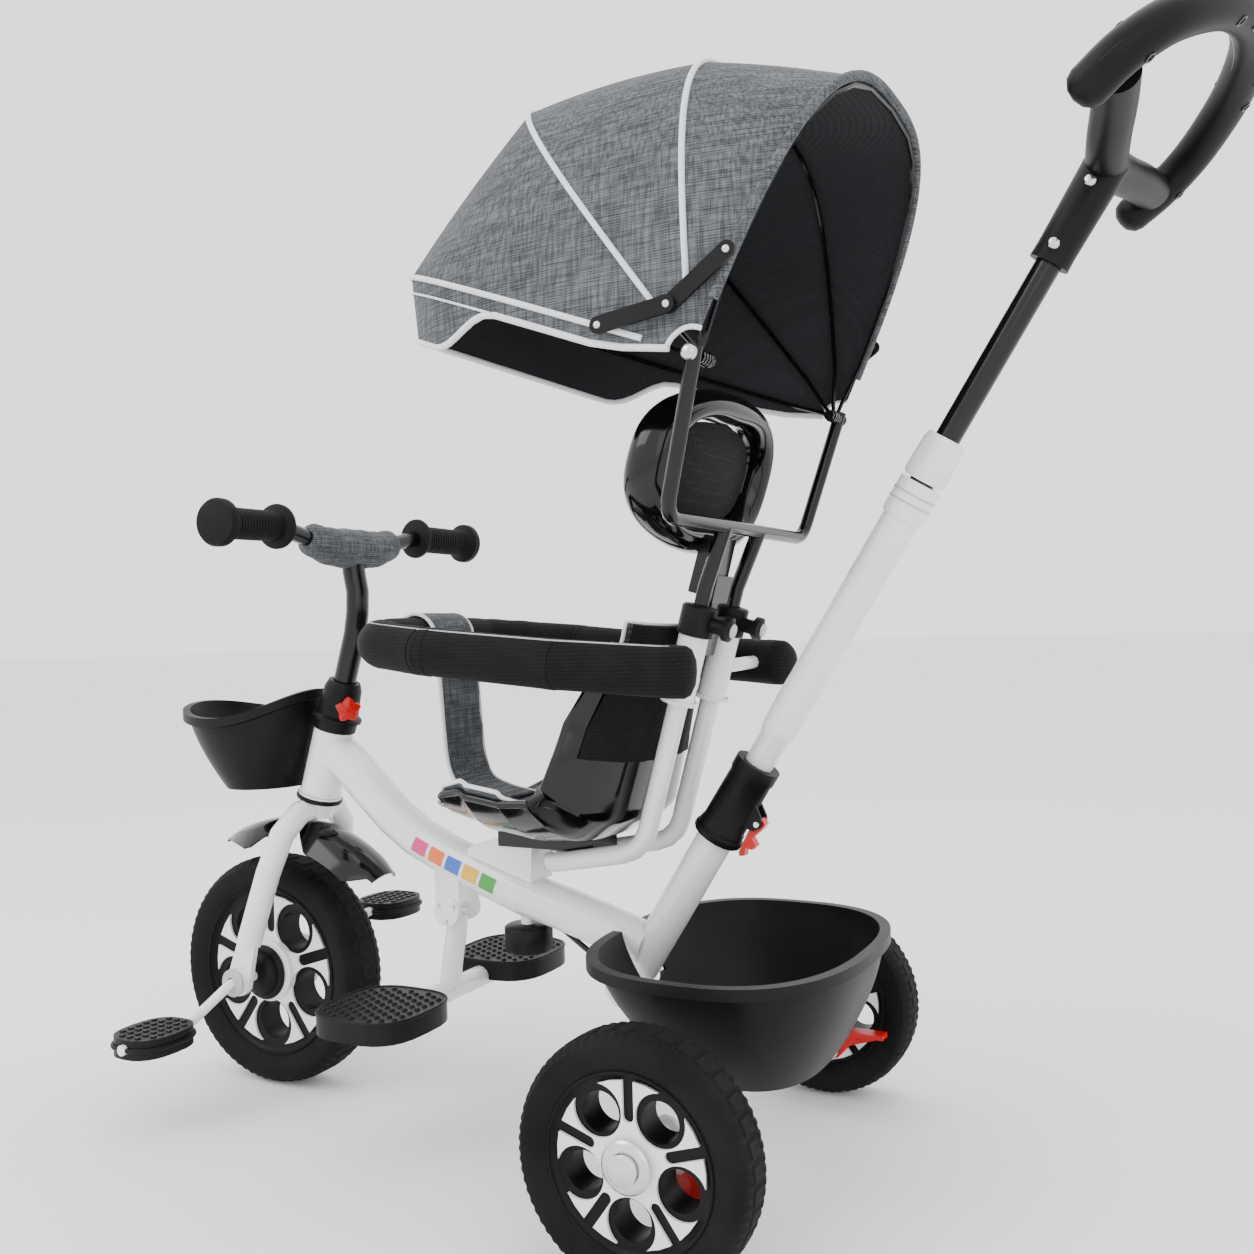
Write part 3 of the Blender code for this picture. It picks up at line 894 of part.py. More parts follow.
def gore(k1, k2, low, high, cols, count=8, foot=0.020, visor=False):
    """Fabric between two ribs: a ruled shell over their arches. visor adds a curtain that
    hangs from the first rib, deepest at the front."""
    (p1, h1, a1, n1), (p2, h2, a2, n2) = RIBS[k1], RIBS[k2]

    def grid(off):
        rows = []
        for c in range(cols + 1):
            w = 0.03 + 0.94 * c / cols
            if visor and c == 0:
                w = 0.0
            phi = p1 + (p2 - p1) * w
            half = math.radians(abs(p2 - p1)) / 2
            # straight between the ribs, so the radius dips a little
            dip = 1.0 if c in (0, cols) else math.cos(half) / math.cos(half * (2 * w - 1))
            h, a, n = h1 + (h2 - h1) * w + off, a1 + (a2 - a1) * w + off, n1 + (n2 - n1) * w
            d = rib_dir(phi)
            side = [(a, foot)] + [(x, max(r, foot + 0.002 * (i + 1))) for i, (x, r) in enumerate(arch_xy(h, a, n, count)[1:])]
            full = side + [(-x, r) for x, r in reversed(side[:-1])]
            rows.append([CANOPY_PIVOT + X * x + d * (r * (dip if r > 0.1 else 1.0)) for x, r in full])
        if visor:
            d = rib_dir(p1)
            low_row = []
            for p in rows[0]:
                r = (p - CANOPY_PIVOT).dot(d)
                drop = 0.0060 + 0.0560 * min(1.0, max(0.0, (r - 0.06) / 0.24))
                low_row.append(p - Z * drop + Y * (0.10 * drop))
            rows.insert(0, low_row)
        return rows
    lo, hi = grid(low), grid(high)
    bm = bmesh.new()
    A = [[bm.verts.new(p) for p in row] for row in lo]
    B = [[bm.verts.new(p) for p in row] for row in hi]
    m, n = len(A[0]), len(A) - 1
    for i in range(n):
        for j in range(m - 1):
            bm.faces.new((A[i][j], A[i + 1][j], A[i + 1][j + 1], A[i][j + 1]))
            bm.faces.new((B[i][j], B[i][j + 1], B[i + 1][j + 1], B[i + 1][j]))
        bm.faces.new((A[i][0], B[i][0], B[i + 1][0], A[i + 1][0]))
        bm.faces.new((A[i][m - 1], A[i + 1][m - 1], B[i + 1][m - 1], B[i][m - 1]))
    for j in range(m - 1):
        bm.faces.new((A[0][j], A[0][j + 1], B[0][j + 1], B[0][j]))
        bm.faces.new((A[n][j], B[n][j], B[n][j + 1], A[n][j + 1]))
    return bm


finish("canopy_panel_rear", gore("c", "d", 0.0038, 0.0054, 2), FABRIC, "canopy_frame", 60)
finish("canopy_panel_middle", gore("b", "c", 0.0038, 0.0054, 3), FABRIC, "rib_c", 60)
finish("canopy_panel_front", gore("a", "b", 0.0038, 0.0054, 3, visor=True), FABRIC, "rib_a", 60)

# folding links on each side: the rear link turns on the rear rib, the front one on the elbow
for side, sx in (("left", 1), ("right", -1)):
    xo = CANOPY_X + 0.0115
    for nm, a, b, lay, own in (("rear", LINK_3, LINK_2, 0.0, side + "_rear_link"), ("front", LINK_2, LINK_1, 0.0036, side + "_front_link")):
        ax = (b - a).normalized()
        n = (b - a).length
        w = Vector((0, -ax.z, ax.y))
        out = arc2(0, 0, 0.0070, 90, 270, 8) + arc2(n, 0, 0.0070, -90, 90, 8)
        finish(f"{side}_{nm}_link", plate(out, 0.0030, a + X * sx * (xo + lay), ax, w), BLACK, own)

# ---------------------------------------------------------------- headrest
HR_MID = Vector((0, -0.0220, 0.6430))
HR_U, HR_V = X, Vector((0, 0.3130, 0.9497))


def headrest_ring():
    w = HR_U.cross(HR_V).normalized()          # faces forward
    rings = []
    n = 24
    for i in range(n):
        t = 2 * math.pi * i / n
        c, s = math.cos(t), math.sin(t)
        u = 0.1100 * math.copysign(abs(c) ** (2 / 2.5), c)
        v = 0.0620 * math.copysign(abs(s) ** (2 / 2.5), s)
        p = HR_MID + HR_U * u + HR_V * v + w * (0.0080 * (abs(u) / 0.110) ** 2)
        ctr = (HR_U * u + HR_V * v).normalized()
        rings.append([p + ctr * (0.0140 * math.cos(q)) + w * (0.0210 * math.sin(q)) for q in [2 * math.pi * k / 8 for k in range(8)]])
    return loft(rings, closed=True)


hring = finish("headrest_frame", headrest_ring(), GLOSS, "headrest")


def headrest_mesh():
    w = HR_U.cross(HR_V).normalized()
    outline = superellipse(0.0930, 0.0450, 2.5, 20)
    bm = bmesh.new()
    rows = []
    for scale in (1.0, 0.5):
        rows.append([bm.verts.new(HR_MID + HR_U * (a * scale) + HR_V * (b * scale) + w * (0.0080 * (abs(a * scale) / 0.110) ** 2)) for a, b in outline])
    ctr = bm.verts.new(HR_MID)
    for a, b in zip(rows[:-1], rows[1:]):
        for i in range(20):
            bm.faces.new((a[i], a[(i + 1) % 20], b[(i + 1) % 20], b[i]))
    for i in range(20):
        bm.faces.new((rows[-1][i], rows[-1][(i + 1) % 20], ctr))
    out = bmesh.ops.extrude_face_region(bm, geom=bm.faces[:])
    bmesh.ops.translate(bm, verts=[g for g in out["geom"] if isinstance(g, bmesh.types.BMVert)], vec=w * 0.0020)
    return bm


finish("headrest_mesh", headrest_mesh(), MESH, "headrest", 60)
# moulded stem between the two posts
join(hring, "headrest_neck_tool", plate([(-0.0170, 0.0350), (0.0170, 0.0350), (0.0150, 0.0900), (-0.0150, 0.0900)],
                                        0.0220, POST_TOP - REARWARD * 0.0140, X, POST_DIR), "headrest")
join(hring, "headrest_stem_tool", plate([(-0.0155, -0.0200), (0.0155, -0.0200), (0.0175, 0.0560), (-0.0175, 0.0560)],
                                        0.0090, POST_TOP - REARWARD * 0.0030, X, POST_DIR), "headrest")
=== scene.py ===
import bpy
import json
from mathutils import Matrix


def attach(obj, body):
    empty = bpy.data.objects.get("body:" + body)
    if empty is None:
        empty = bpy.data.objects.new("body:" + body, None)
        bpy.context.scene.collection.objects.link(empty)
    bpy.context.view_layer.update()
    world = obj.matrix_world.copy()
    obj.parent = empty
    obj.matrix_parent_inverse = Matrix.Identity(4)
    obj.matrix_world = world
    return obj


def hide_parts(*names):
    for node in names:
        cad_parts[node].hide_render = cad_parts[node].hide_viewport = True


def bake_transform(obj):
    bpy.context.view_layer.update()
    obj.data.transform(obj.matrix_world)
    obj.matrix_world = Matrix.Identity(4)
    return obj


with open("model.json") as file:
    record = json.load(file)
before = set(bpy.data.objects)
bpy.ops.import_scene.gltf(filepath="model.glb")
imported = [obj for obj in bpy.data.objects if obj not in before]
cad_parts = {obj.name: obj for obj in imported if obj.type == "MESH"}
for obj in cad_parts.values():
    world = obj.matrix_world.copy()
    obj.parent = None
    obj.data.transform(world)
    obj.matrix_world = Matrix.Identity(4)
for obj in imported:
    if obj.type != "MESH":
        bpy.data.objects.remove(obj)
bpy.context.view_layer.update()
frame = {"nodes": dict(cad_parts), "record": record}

import json
import math

import bmesh
import bpy
import numpy as np
from mathutils import Matrix, Vector

Y_SHIFT = 0.1250
GAP = 0.0003
FRONT_AXLE = Vector((0.0, -0.5725, 0.127))
FRONT_R, FRONT_W = 0.127, 0.0585
REAR_X, REAR_R, REAR_W = 0.2186, 0.0989, 0.050
STEER_DIR = Vector((0.0, 0.301, 0.954)).normalized()
HEAD_S0, HEAD_S1 = 0.2100, 0.2855
TUBE_R, TUBE_IN = 0.0220, 0.0196
PUSH_FOOT = Vector((0.0, -0.1315, 0.1401))
PUSH_DIR = Vector((0.0, 0.5385, 0.8426)).normalized()
SOCKET_R, SOCKET_IN = 0.0175, 0.0152
PUSH_R = 0.0165
INNER_R = 0.0110
POST_X, POST_R, POST_IN = 0.0360, 0.0095, 0.0078
POST_DIR = Vector((0.0, 0.2800, 0.9600)).normalized()
POST_TOP = Vector((0.0, -0.0266, 0.4938))
SLEEVE_R = 0.0140
CANOPY_PIVOT = Vector((0.0, 0.0451, 0.7125))
CANOPY_X = 0.1787
RIB_R = 0.0022
RIBS = {"a": (21.5, 0.360, 0.180, 3.4), "b": (54.1, 0.324, 0.178, 3.5),
        "c": (88.0, 0.260, 0.178, 4.0), "d": (116.0, 0.256, 0.176, 2.9)}
LINK_1 = Vector((0.0, -0.0306, 0.7423))
LINK_2 = Vector((0.0, 0.0304, 0.7500))
LINK_3 = Vector((0.0, 0.0801, 0.7844))
FOOT_PIVOT = Vector((0.0, -0.3248, 0.2142))
GUARD_R, GUARD_CORE = 0.0225, 0.0065
CRANK_R = 0.0055
CRANK_THROW = Vector((0.0, -0.0235, -0.0365))
PEDAL_X = 0.162
X, Y, Z = Vector((1, 0, 0)), Vector((0, 1, 0)), Vector((0, 0, 1))


def steer(s, x=0.0, off=0.0):
    """Point on the steering axis at distance s from the front axle."""
    back = X.cross(STEER_DIR).normalized()
    return FRONT_AXLE + STEER_DIR * s + X * x + back * off



def push(t, x=0.0, off=0.0):
    """Point on the push bar's axis at distance t from its foot; off is towards the rear."""
    rear = PUSH_DIR.cross(X).normalized()
    return PUSH_FOOT + PUSH_DIR * t + X * x + rear * off

LEFT_PEDAL = FRONT_AXLE + CRANK_THROW + X * PEDAL_X
RIGHT_PEDAL = FRONT_AXLE - CRANK_THROW - X * PEDAL_X


def together(*parts):
    """Several separate shapes in one cutter."""
    out = bmesh.new()
    for part in parts:
        keep = {v: out.verts.new(v.co) for v in part.verts}
        for f in part.faces:
            out.faces.new([keep[v] for v in f.verts])
        part.free()
    return out



def loft(rings, closed=False, caps=True):
    """Skin equal rings of points. A ring of one point is a pole."""
    bm = bmesh.new()
    rows = [[bm.verts.new(p) for p in ring] for ring in rings]
    pairs = list(zip(rows[:-1], rows[1:]))
    if closed:
        pairs.append((rows[-1], rows[0]))
    for a, b in pairs:
        n = max(len(a), len(b))
        for i in range(n):
            j = (i + 1) % n
            if len(a) == 1:
                bm.faces.new((a[0], b[j], b[i]))
            elif len(b) == 1:
                bm.faces.new((a[i], a[j], b[0]))
            else:
                bm.faces.new((a[i], a[j], b[j], b[i]))
    if caps and not closed:
        for row in (rows[0], rows[-1]):
            if len(row) > 2:
                bm.faces.new(row)
    return bm



def basis(axis, hint=Z):
    axis = Vector(axis).normalized()
    if abs(axis.dot(hint)) > 0.95:
        hint = X
    u = (hint - axis * axis.dot(hint)).normalized()
    return u, axis.cross(u).normalized(), axis



def lathe(profile, origin, axis, seg=20, closed=None, phase=0.0, lobes=0, depth=0.0, hint=Z):
    """Turn (radius, height) pairs about an axis. A profile that starts and ends at radius 0 is a
    solid; otherwise it is closed on itself, as a ring. lobes adds a fluted edge."""
    u, v, w = basis(axis, hint)
    origin = Vector(origin)
    rings = []
    for r, h, *flute in profile:
        if r <= 1e-9:
            rings.append([origin + w * h])
            continue
        ring = []
        for i in range(seg):
            a = 2 * math.pi * (i + phase) / seg
            rr = r + (depth * math.cos(lobes * a) if lobes and flute and flute[0] else 0.0)
            ring.append(origin + w * h + u * (rr * math.cos(a)) + v * (rr * math.sin(a)))
        rings.append(ring)
    solid = len(rings[0]) == 1 and len(rings[-1]) == 1
    return loft(rings, closed=not solid, caps=False)



def catmull(points, n):
    """A smooth curve through the points, n spans between neighbours."""
    pts = [Vector(p) for p in points]
    ext = [pts[0] * 2 - pts[1]] + pts + [pts[-1] * 2 - pts[-2]]
    out = []
    for i in range(1, len(ext) - 2):
        p0, p1, p2, p3 = ext[i - 1:i + 3]
        for k in range(n):
            t = k / n
            out.append(0.5 * ((2 * p1) + (p2 - p0) * t + (2 * p0 - 5 * p1 + 4 * p2 - p3) * t * t
                              + (3 * p1 - p0 - 3 * p2 + p3) * t ** 3))
    out.append(pts[-1])
    return out



def rounded(points, radius, n=5):
    """A polyline whose corners are arcs of the given bend radius."""
    pts = [Vector(p) for p in points]
    out = [pts[0]]
    for a, b, c in zip(pts[:-2], pts[1:-1], pts[2:]):
        d0, d1 = (a - b).normalized(), (c - b).normalized()
        ang = d0.angle(d1)
        cut = min(radius / math.tan(ang / 2), 0.49 * (a - b).length, 0.49 * (c - b).length)
        rr = cut * math.tan(ang / 2)
        centre = b + (d0 + d1).normalized() * (rr / math.sin(ang / 2))
        p, q = b + d0 * cut, b + d1 * cut
        for k in range(n + 1):
            t = k / n
            e0, e1 = p - centre, q - centre
            turn = e0.angle(e1)
            out.append(centre + (e0 * math.sin((1 - t) * turn) + e1 * math.sin(t * turn)) / math.sin(turn))
    out.append(pts[-1])
    return out



def frames(path, hint, closed=False):
    """Turning frames along a path, without twist."""
    n = len(path)
    tang = []
    for i in range(n):
        a = path[(i - 1) % n] if (closed or i > 0) else path[0]
        b = path[(i + 1) % n] if (closed or i < n - 1) else path[-1]
        tang.append((b - a).normalized())
    u = (hint - tang[0] * tang[0].dot(hint)).normalized()
    out = []
    for t in tang:
        u = (u - t * u.dot(t)).normalized()
        out.append((u.copy(), t.cross(u).normalized(), t))
    return out



def sweep(path, r, seg=12, r_in=None, hint=Z, flat=1.0, ends=None):
    """A round bar or tube along a path. r may be a function of the share of the path.
    flat scales the section across the hint. ends rounds both ends by that length."""
    path = [Vector(p) for p in path]
    fr = frames(path, hint)
    n = len(path) - 1
    rad = r if callable(r) else (lambda s: r)

    def ring(i, rr):
        u, v, _ = fr[i]
        return [path[i] + u * (rr * math.cos(2 * math.pi * k / seg))
                + v * (rr * flat * math.sin(2 * math.pi * k / seg)) for k in range(seg)]
    rings = [ring(i, rad(i / n)) for i in range(n + 1)]
    if r_in is not None:
        rings += [ring(i, r_in) for i in range(n, -1, -1)]
        return loft(rings, closed=True)
    if ends:
        def dome(i, sign):
            u, v, t = fr[i]
            base = rad(0 if i == 0 else 1)
            out = []
            for k in (1, 2):
                a = math.radians(30 * k)
                c = path[i] + t * (sign * ends * math.sin(a))
                rr = base * math.cos(a)
                out.append([c + u * (rr * math.cos(2 * math.pi * q / seg))
                            + v * (rr * flat * math.sin(2 * math.pi * q / seg)) for q in range(seg)])
            out.append([path[i] + t * (sign * ends)])
            return out
        rings = list(reversed(dome(0, -1))) + rings + dome(n, 1)
        return loft(rings, caps=False)
    return loft(rings)



def plate(outline, thick, origin, u, v, hole=None):
    """A flat plate: a closed outline in (u, v), thickened evenly about its plane."""
    u, v = Vector(u).normalized(), Vector(v).normalized()
    w = u.cross(v)
    origin = Vector(origin)
    bm = bmesh.new()
    lo = [bm.verts.new(origin + u * a + v * b - w * thick / 2) for a, b in outline]
    face = bm.faces.new(lo)
    out = bmesh.ops.extrude_face_region(bm, geom=[face])
    top = [g for g in out["geom"] if isinstance(g, bmesh.types.BMVert)]
    bmesh.ops.translate(bm, verts=top, vec=w * thick)
    return bm



def superellipse(a, b, n, count=32, start=0.0):
    pts = []
    for i in range(count):
        t = 2 * math.pi * i / count + start
        c, s = math.cos(t), math.sin(t)
        pts.append((a * math.copysign(abs(c) ** (2 / n), c), b * math.copysign(abs(s) ** (2 / n), s)))
    return pts



def arc2(cx, cy, r, a0, a1, n):
    return [(cx + r * math.cos(math.radians(a0 + (a1 - a0) * i / n)),
             cy + r * math.sin(math.radians(a0 + (a1 - a0) * i / n))) for i in range(n + 1)]



def cylinder(p, q, r, seg=16, hint=Z):
    p, q = Vector(p), Vector(q)
    return lathe([(0, 0), (r, 0), (r, (q - p).length), (0, (q - p).length)], p, q - p, seg, hint=hint)



def disc_outline(rd, bite, slot):
    """Outer edge of a wheel disc: five double spokes, with a round bite between spokes and a
    narrow slot down the middle of each spoke. Angles from the top, radii in metres."""
    pts = []
    bc, br = rd * 0.72, rd * bite
    for k in range(5):
        base = 72.0 * k
        # the slot in the middle of this spoke
        h = rd * slot
        a_edge = math.degrees(math.asin(h / rd))
        inner = rd * 0.50
        slot_pts = [(rd, base - a_edge)]
        for q in range(13):
            sx = -h * math.cos(math.radians(15 * q))
            sy = inner - h * math.sin(math.radians(15 * q)) + h
            slot_pts.append((math.hypot(sx, sy), base + math.degrees(math.atan2(sx, sy))))
        slot_pts.append((rd, base + a_edge))
        pts += slot_pts
        # the bite half way to the next spoke: circle of radius br about bc, open at the edge
        mid = base + 36.0
        half = math.degrees(math.acos(max(-1, min(1, (bc * bc + rd * rd - br * br) / (2 * bc * rd)))))
        pts.append((rd, base + a_edge + (36 - half - a_edge) / 2))
        start = math.atan2(-rd * math.sin(math.radians(half)), rd * math.cos(math.radians(half)) - bc)
        end = -start
        full = 2 * math.pi - (end - start)
        for q in range(25):
            ang = start - full * q / 24
            x, y = br * math.sin(ang), bc + br * math.cos(ang)
            pts.append((math.hypot(x, y), mid + math.degrees(math.atan2(x, y))))
        pts.append((rd, base + 36 + half + (36 - half - a_edge) / 2))
    return pts



def disc_mesh(outline, rin, thick, centre, s):
    """Plate between the outline and a round hole of 40 points, joined by a triangle fill."""
    n = len(outline)
    outer = [(r * math.sin(math.radians(a)), r * math.cos(math.radians(a))) for r, a in outline]
    inner = [(rin * math.sin(2 * math.pi * i / 40), rin * math.cos(2 * math.pi * i / 40)) for i in range(40)]
    bm = bmesh.new()
    centre = Vector(centre)
    ov = [bm.verts.new(centre + Y * y + Z * z) for y, z in outer]
    iv = [bm.verts.new(centre + Y * y + Z * z) for y, z in inner]
    edges = [bm.edges.new((ov[i], ov[(i + 1) % n])) for i in range(n)]
    edges += [bm.edges.new((iv[i], iv[(i + 1) % 40])) for i in range(40)]
    bmesh.ops.triangle_fill(bm, use_beauty=True, use_dissolve=False, edges=edges)
    out = bmesh.ops.extrude_face_region(bm, geom=bm.faces[:])
    top = [g for g in out["geom"] if isinstance(g, bmesh.types.BMVert)]
    bmesh.ops.translate(bm, verts=top, vec=X * s * thick)
    bmesh.ops.translate(bm, verts=bm.verts[:], vec=-X * s * thick / 2)
    return bm

SPINE = [(0, -0.4820, 0.3738), (0, -0.4647, 0.3616), (0, -0.4365, 0.3353), (0, -0.4043, 0.3068),
         (0, -0.3714, 0.2850), (0, -0.3348, 0.2690), (0, -0.2930, 0.2535), (0, -0.2420, 0.2360),
         (0, -0.1939, 0.2240), (0, -0.1477, 0.2110), (0, -0.1010, 0.1960)]


def post_at(sx, s, x=0.0, off=0.0):
    """Point on a seat post's straight upper part, s above the sleeve's top."""
    rear = POST_DIR.cross(X).normalized()
    return POST_TOP + X * (sx * POST_X + x) + POST_DIR * s + rear * off

REARWARD = POST_DIR.cross(X).normalized()


def seat_section(u, v, lift=0.0):
    """Seat surface. u runs from the front lip (0) over the pan to the top of the back (1),
    v runs across from -1 to 1. lift moves along the surface's normal, towards the rider."""
    key = [(0.00, -0.2740, 0.3300, 0.100), (0.10, -0.2640, 0.3230, 0.118), (0.25, -0.2250, 0.3100, 0.132),
           (0.42, -0.1750, 0.3040, 0.138), (0.56, -0.1340, 0.3060, 0.138), (0.68, -0.1010, 0.3250, 0.130),
           (0.80, -0.0840, 0.3800, 0.115), (0.90, -0.0710, 0.4350, 0.098), (1.00, -0.0590, 0.4830, 0.088)]
    us = [k[0] for k in key]
    y, z, w = (float(np.interp(u, us, [k[i] for k in key])) for i in (1, 2, 3))
    if u > 1.0:
        y, z = y + 0.011 * (u - 1.0) / 0.1, z + 0.048 * (u - 1.0) / 0.1
    e = 0.02
    u = min(u, 1.0)
    y0, z0 = (float(np.interp(max(u - e, 0), us, [k[i] for k in key])) for i in (1, 2))
    y1, z1 = (float(np.interp(min(u + e, 1), us, [k[i] for k in key])) for i in (1, 2))
    t = Vector((0, y1 - y0, z1 - z0)).normalized()
    n = X.cross(t).normalized()
    # the sides curl up, as a bucket
    side = abs(v) ** 3.0
    curl = 0.046 * side * min(1.0, 0.35 + u / 0.30) * (1.0 if u < 0.85 else 1.0 - 0.5 * (u - 0.85) / 0.15)
    p = Vector((v * w, y, z)) + n * curl
    tilt = (n - X * (math.copysign(1, v) * 0.75 * abs(v) ** 2.0)).normalized() if abs(v) > 1e-6 else n
    return p + tilt * lift



def sheet_solid(low, high, us, vs):
    """Closed thin solid between two lifts of the seat surface."""
    bm = bmesh.new()
    a = [[bm.verts.new(seat_section(u, v, low)) for v in vs] for u in us]
    b = [[bm.verts.new(seat_section(u, v, high)) for v in vs] for u in us]
    nu, nv = len(us), len(vs)
    for i in range(nu - 1):
        for j in range(nv - 1):
            bm.faces.new((a[i][j], a[i + 1][j], a[i + 1][j + 1], a[i][j + 1]))
            bm.faces.new((b[i][j], b[i][j + 1], b[i + 1][j + 1], b[i + 1][j]))
    for i in range(nu - 1):
        bm.faces.new((a[i][0], b[i][0], b[i + 1][0], a[i + 1][0]))
        bm.faces.new((a[i][nv - 1], a[i + 1][nv - 1], b[i + 1][nv - 1], b[i][nv - 1]))
    for j in range(nv - 1):
        bm.faces.new((a[0][j], a[0][j + 1], b[0][j + 1], b[0][j]))
        bm.faces.new((a[nu - 1][j], b[nu - 1][j], b[nu - 1][j + 1], a[nu - 1][j + 1]))
    return bm



def mudguard(points, count=11):
    (y0, z0), (y1, z1), (y2, z2) = points
    a = np.array([[2 * (y1 - y0), 2 * (z1 - z0)], [2 * (y2 - y0), 2 * (z2 - z0)]])
    b = np.array([y1 ** 2 - y0 ** 2 + z1 ** 2 - z0 ** 2, y2 ** 2 - y0 ** 2 + z2 ** 2 - z0 ** 2])
    cy, cz = np.linalg.solve(a, b)
    r = math.hypot(y0 - cy, z0 - cz)
    a0, a2 = math.atan2(z0 - cz, y0 - cy), math.atan2(z2 - cz, y2 - cy)
    rings = []
    for i in range(count):
        s = i / (count - 1)
        ang = a0 + (a2 - a0) * s
        cdir = Vector((0, math.cos(ang), math.sin(ang)))
        c = Vector((0, cy, cz)) + cdir * r
        mid = (math.atan2(z1 - cz, y1 - cy) - a0) / (a2 - a0)
        d = abs(s - mid) * abs(a2 - a0) * r
        w = 0.0160 + 0.0210 * min(1.0, max(0.0, (d - 0.016) / 0.030)) ** 0.7
        w *= math.sqrt(max(0.12, min(1.0, s / 0.20))) if s < 0.2 else math.sqrt(max(0.30, min(1.0, (1 - s) / 0.10)))
        drop = 0.0260 * (w / 0.037) ** 1.5
        outer, inner = [], []
        for k in range(7):
            v = -1 + 2 * k / 6
            fall = drop * (abs(v) ** 2.6)
            outer.append(c + X * (w * v) - cdir * fall)
            inner.append(c + X * ((w - 0.0016) * v) - cdir * (fall * 0.98 + 0.0020))
        rings.append(outer + inner[::-1])
    return loft(rings)



def tub(rim, floor, rim_z, floor_z, levels, wall, lip, seg=28, notch=None):
    """Basket: outer wall from rim to floor, inner wall back up, with a rolled lip.
    rim and floor are (centre x, centre y, half x, half y, squareness)."""
    def ring(s, off, z_extra=0.0):
        cx, cy = rim[0] + (floor[0] - rim[0]) * s, rim[1] + (floor[1] - rim[1]) * s
        k = s ** 1.6
        ax, ay = rim[2] + (floor[2] - rim[2]) * k - off, rim[3] + (floor[3] - rim[3]) * k - off
        out = []
        for i in range(seg):
            t = 2 * math.pi * i / seg
            c, sn = math.cos(t), math.sin(t)
            x = cx + ax * math.copysign(abs(c) ** (2 / rim[4]), c)
            y = cy + ay * math.copysign(abs(sn) ** (2 / rim[4]), sn)
            zr = rim_z(t)
            out.append(Vector((x, y, zr + (floor_z - zr) * s + z_extra)))
        return out
    rings = [ring(0, wall, 0.0), ring(0, -lip, 0.0), ring(0, -lip, -0.0100), ring(0.04, 0.0, -0.0080)]
    rings += [ring((i + 1) / levels, 0.0) for i in range(levels)]
    bottom = rings[-1]
    inner = [ring((levels - i) / levels, wall, wall if i == 0 else wall * (levels - i) / levels) for i in range(levels)]
    bm = bmesh.new()
    outer_rows = [[bm.verts.new(p) for p in r] for r in rings]
    inner_rows = [[bm.verts.new(p) for p in r] for r in inner]
    rows = outer_rows
    for a, b in zip(rows[:-1], rows[1:]):
        for i in range(seg):
            bm.faces.new((a[i], a[(i + 1) % seg], b[(i + 1) % seg], b[i]))
    bm.faces.new(rows[-1])
    rows = inner_rows + [outer_rows[0]]
    for a, b in zip(rows[:-1], rows[1:]):
        for i in range(seg):
            bm.faces.new((a[i], a[(i + 1) % seg], b[(i + 1) % seg], b[i]))
    bm.faces.new(inner_rows[0])
    return bm



def front_rim(t):
    """Wavy rim: high at the nose and at the collar, low at the sides."""
    return 0.4155 + (0.0145 if math.sin(t) < 0 else 0.0285) * math.sin(t) ** 2



def rear_rim(t):
    return 0.2140

REAR_TUB = ((0, -0.0020, 0.1550, 0.1170, 2.6), (0, 0.0140, 0.0900, 0.0620, 2.4))


def rib_dir(phi):
    return Vector((0, -math.cos(math.radians(phi)), math.sin(math.radians(phi))))



def arch_xy(h, a, n, count, t0=0.0):
    """Half arch as (x, rise) pairs from the foot to the crown."""
    out = []
    for i in range(count + 1):
        t = t0 + (math.pi / 2 - t0) * i / count
        out.append((a * abs(math.cos(t)) ** (2 / n), h * abs(math.sin(t)) ** (2 / n)))
    return out

HR_MID = Vector((0, -0.0220, 0.6430))
HR_U, HR_V = X, Vector((0, 0.3130, 0.9497))

# ---------------------------------------------------------------- materials
def nt(name):
    m = bpy.data.materials.new(name)
    m.use_nodes = True
    t = m.node_tree
    return m, t, t.nodes["Principled BSDF"]


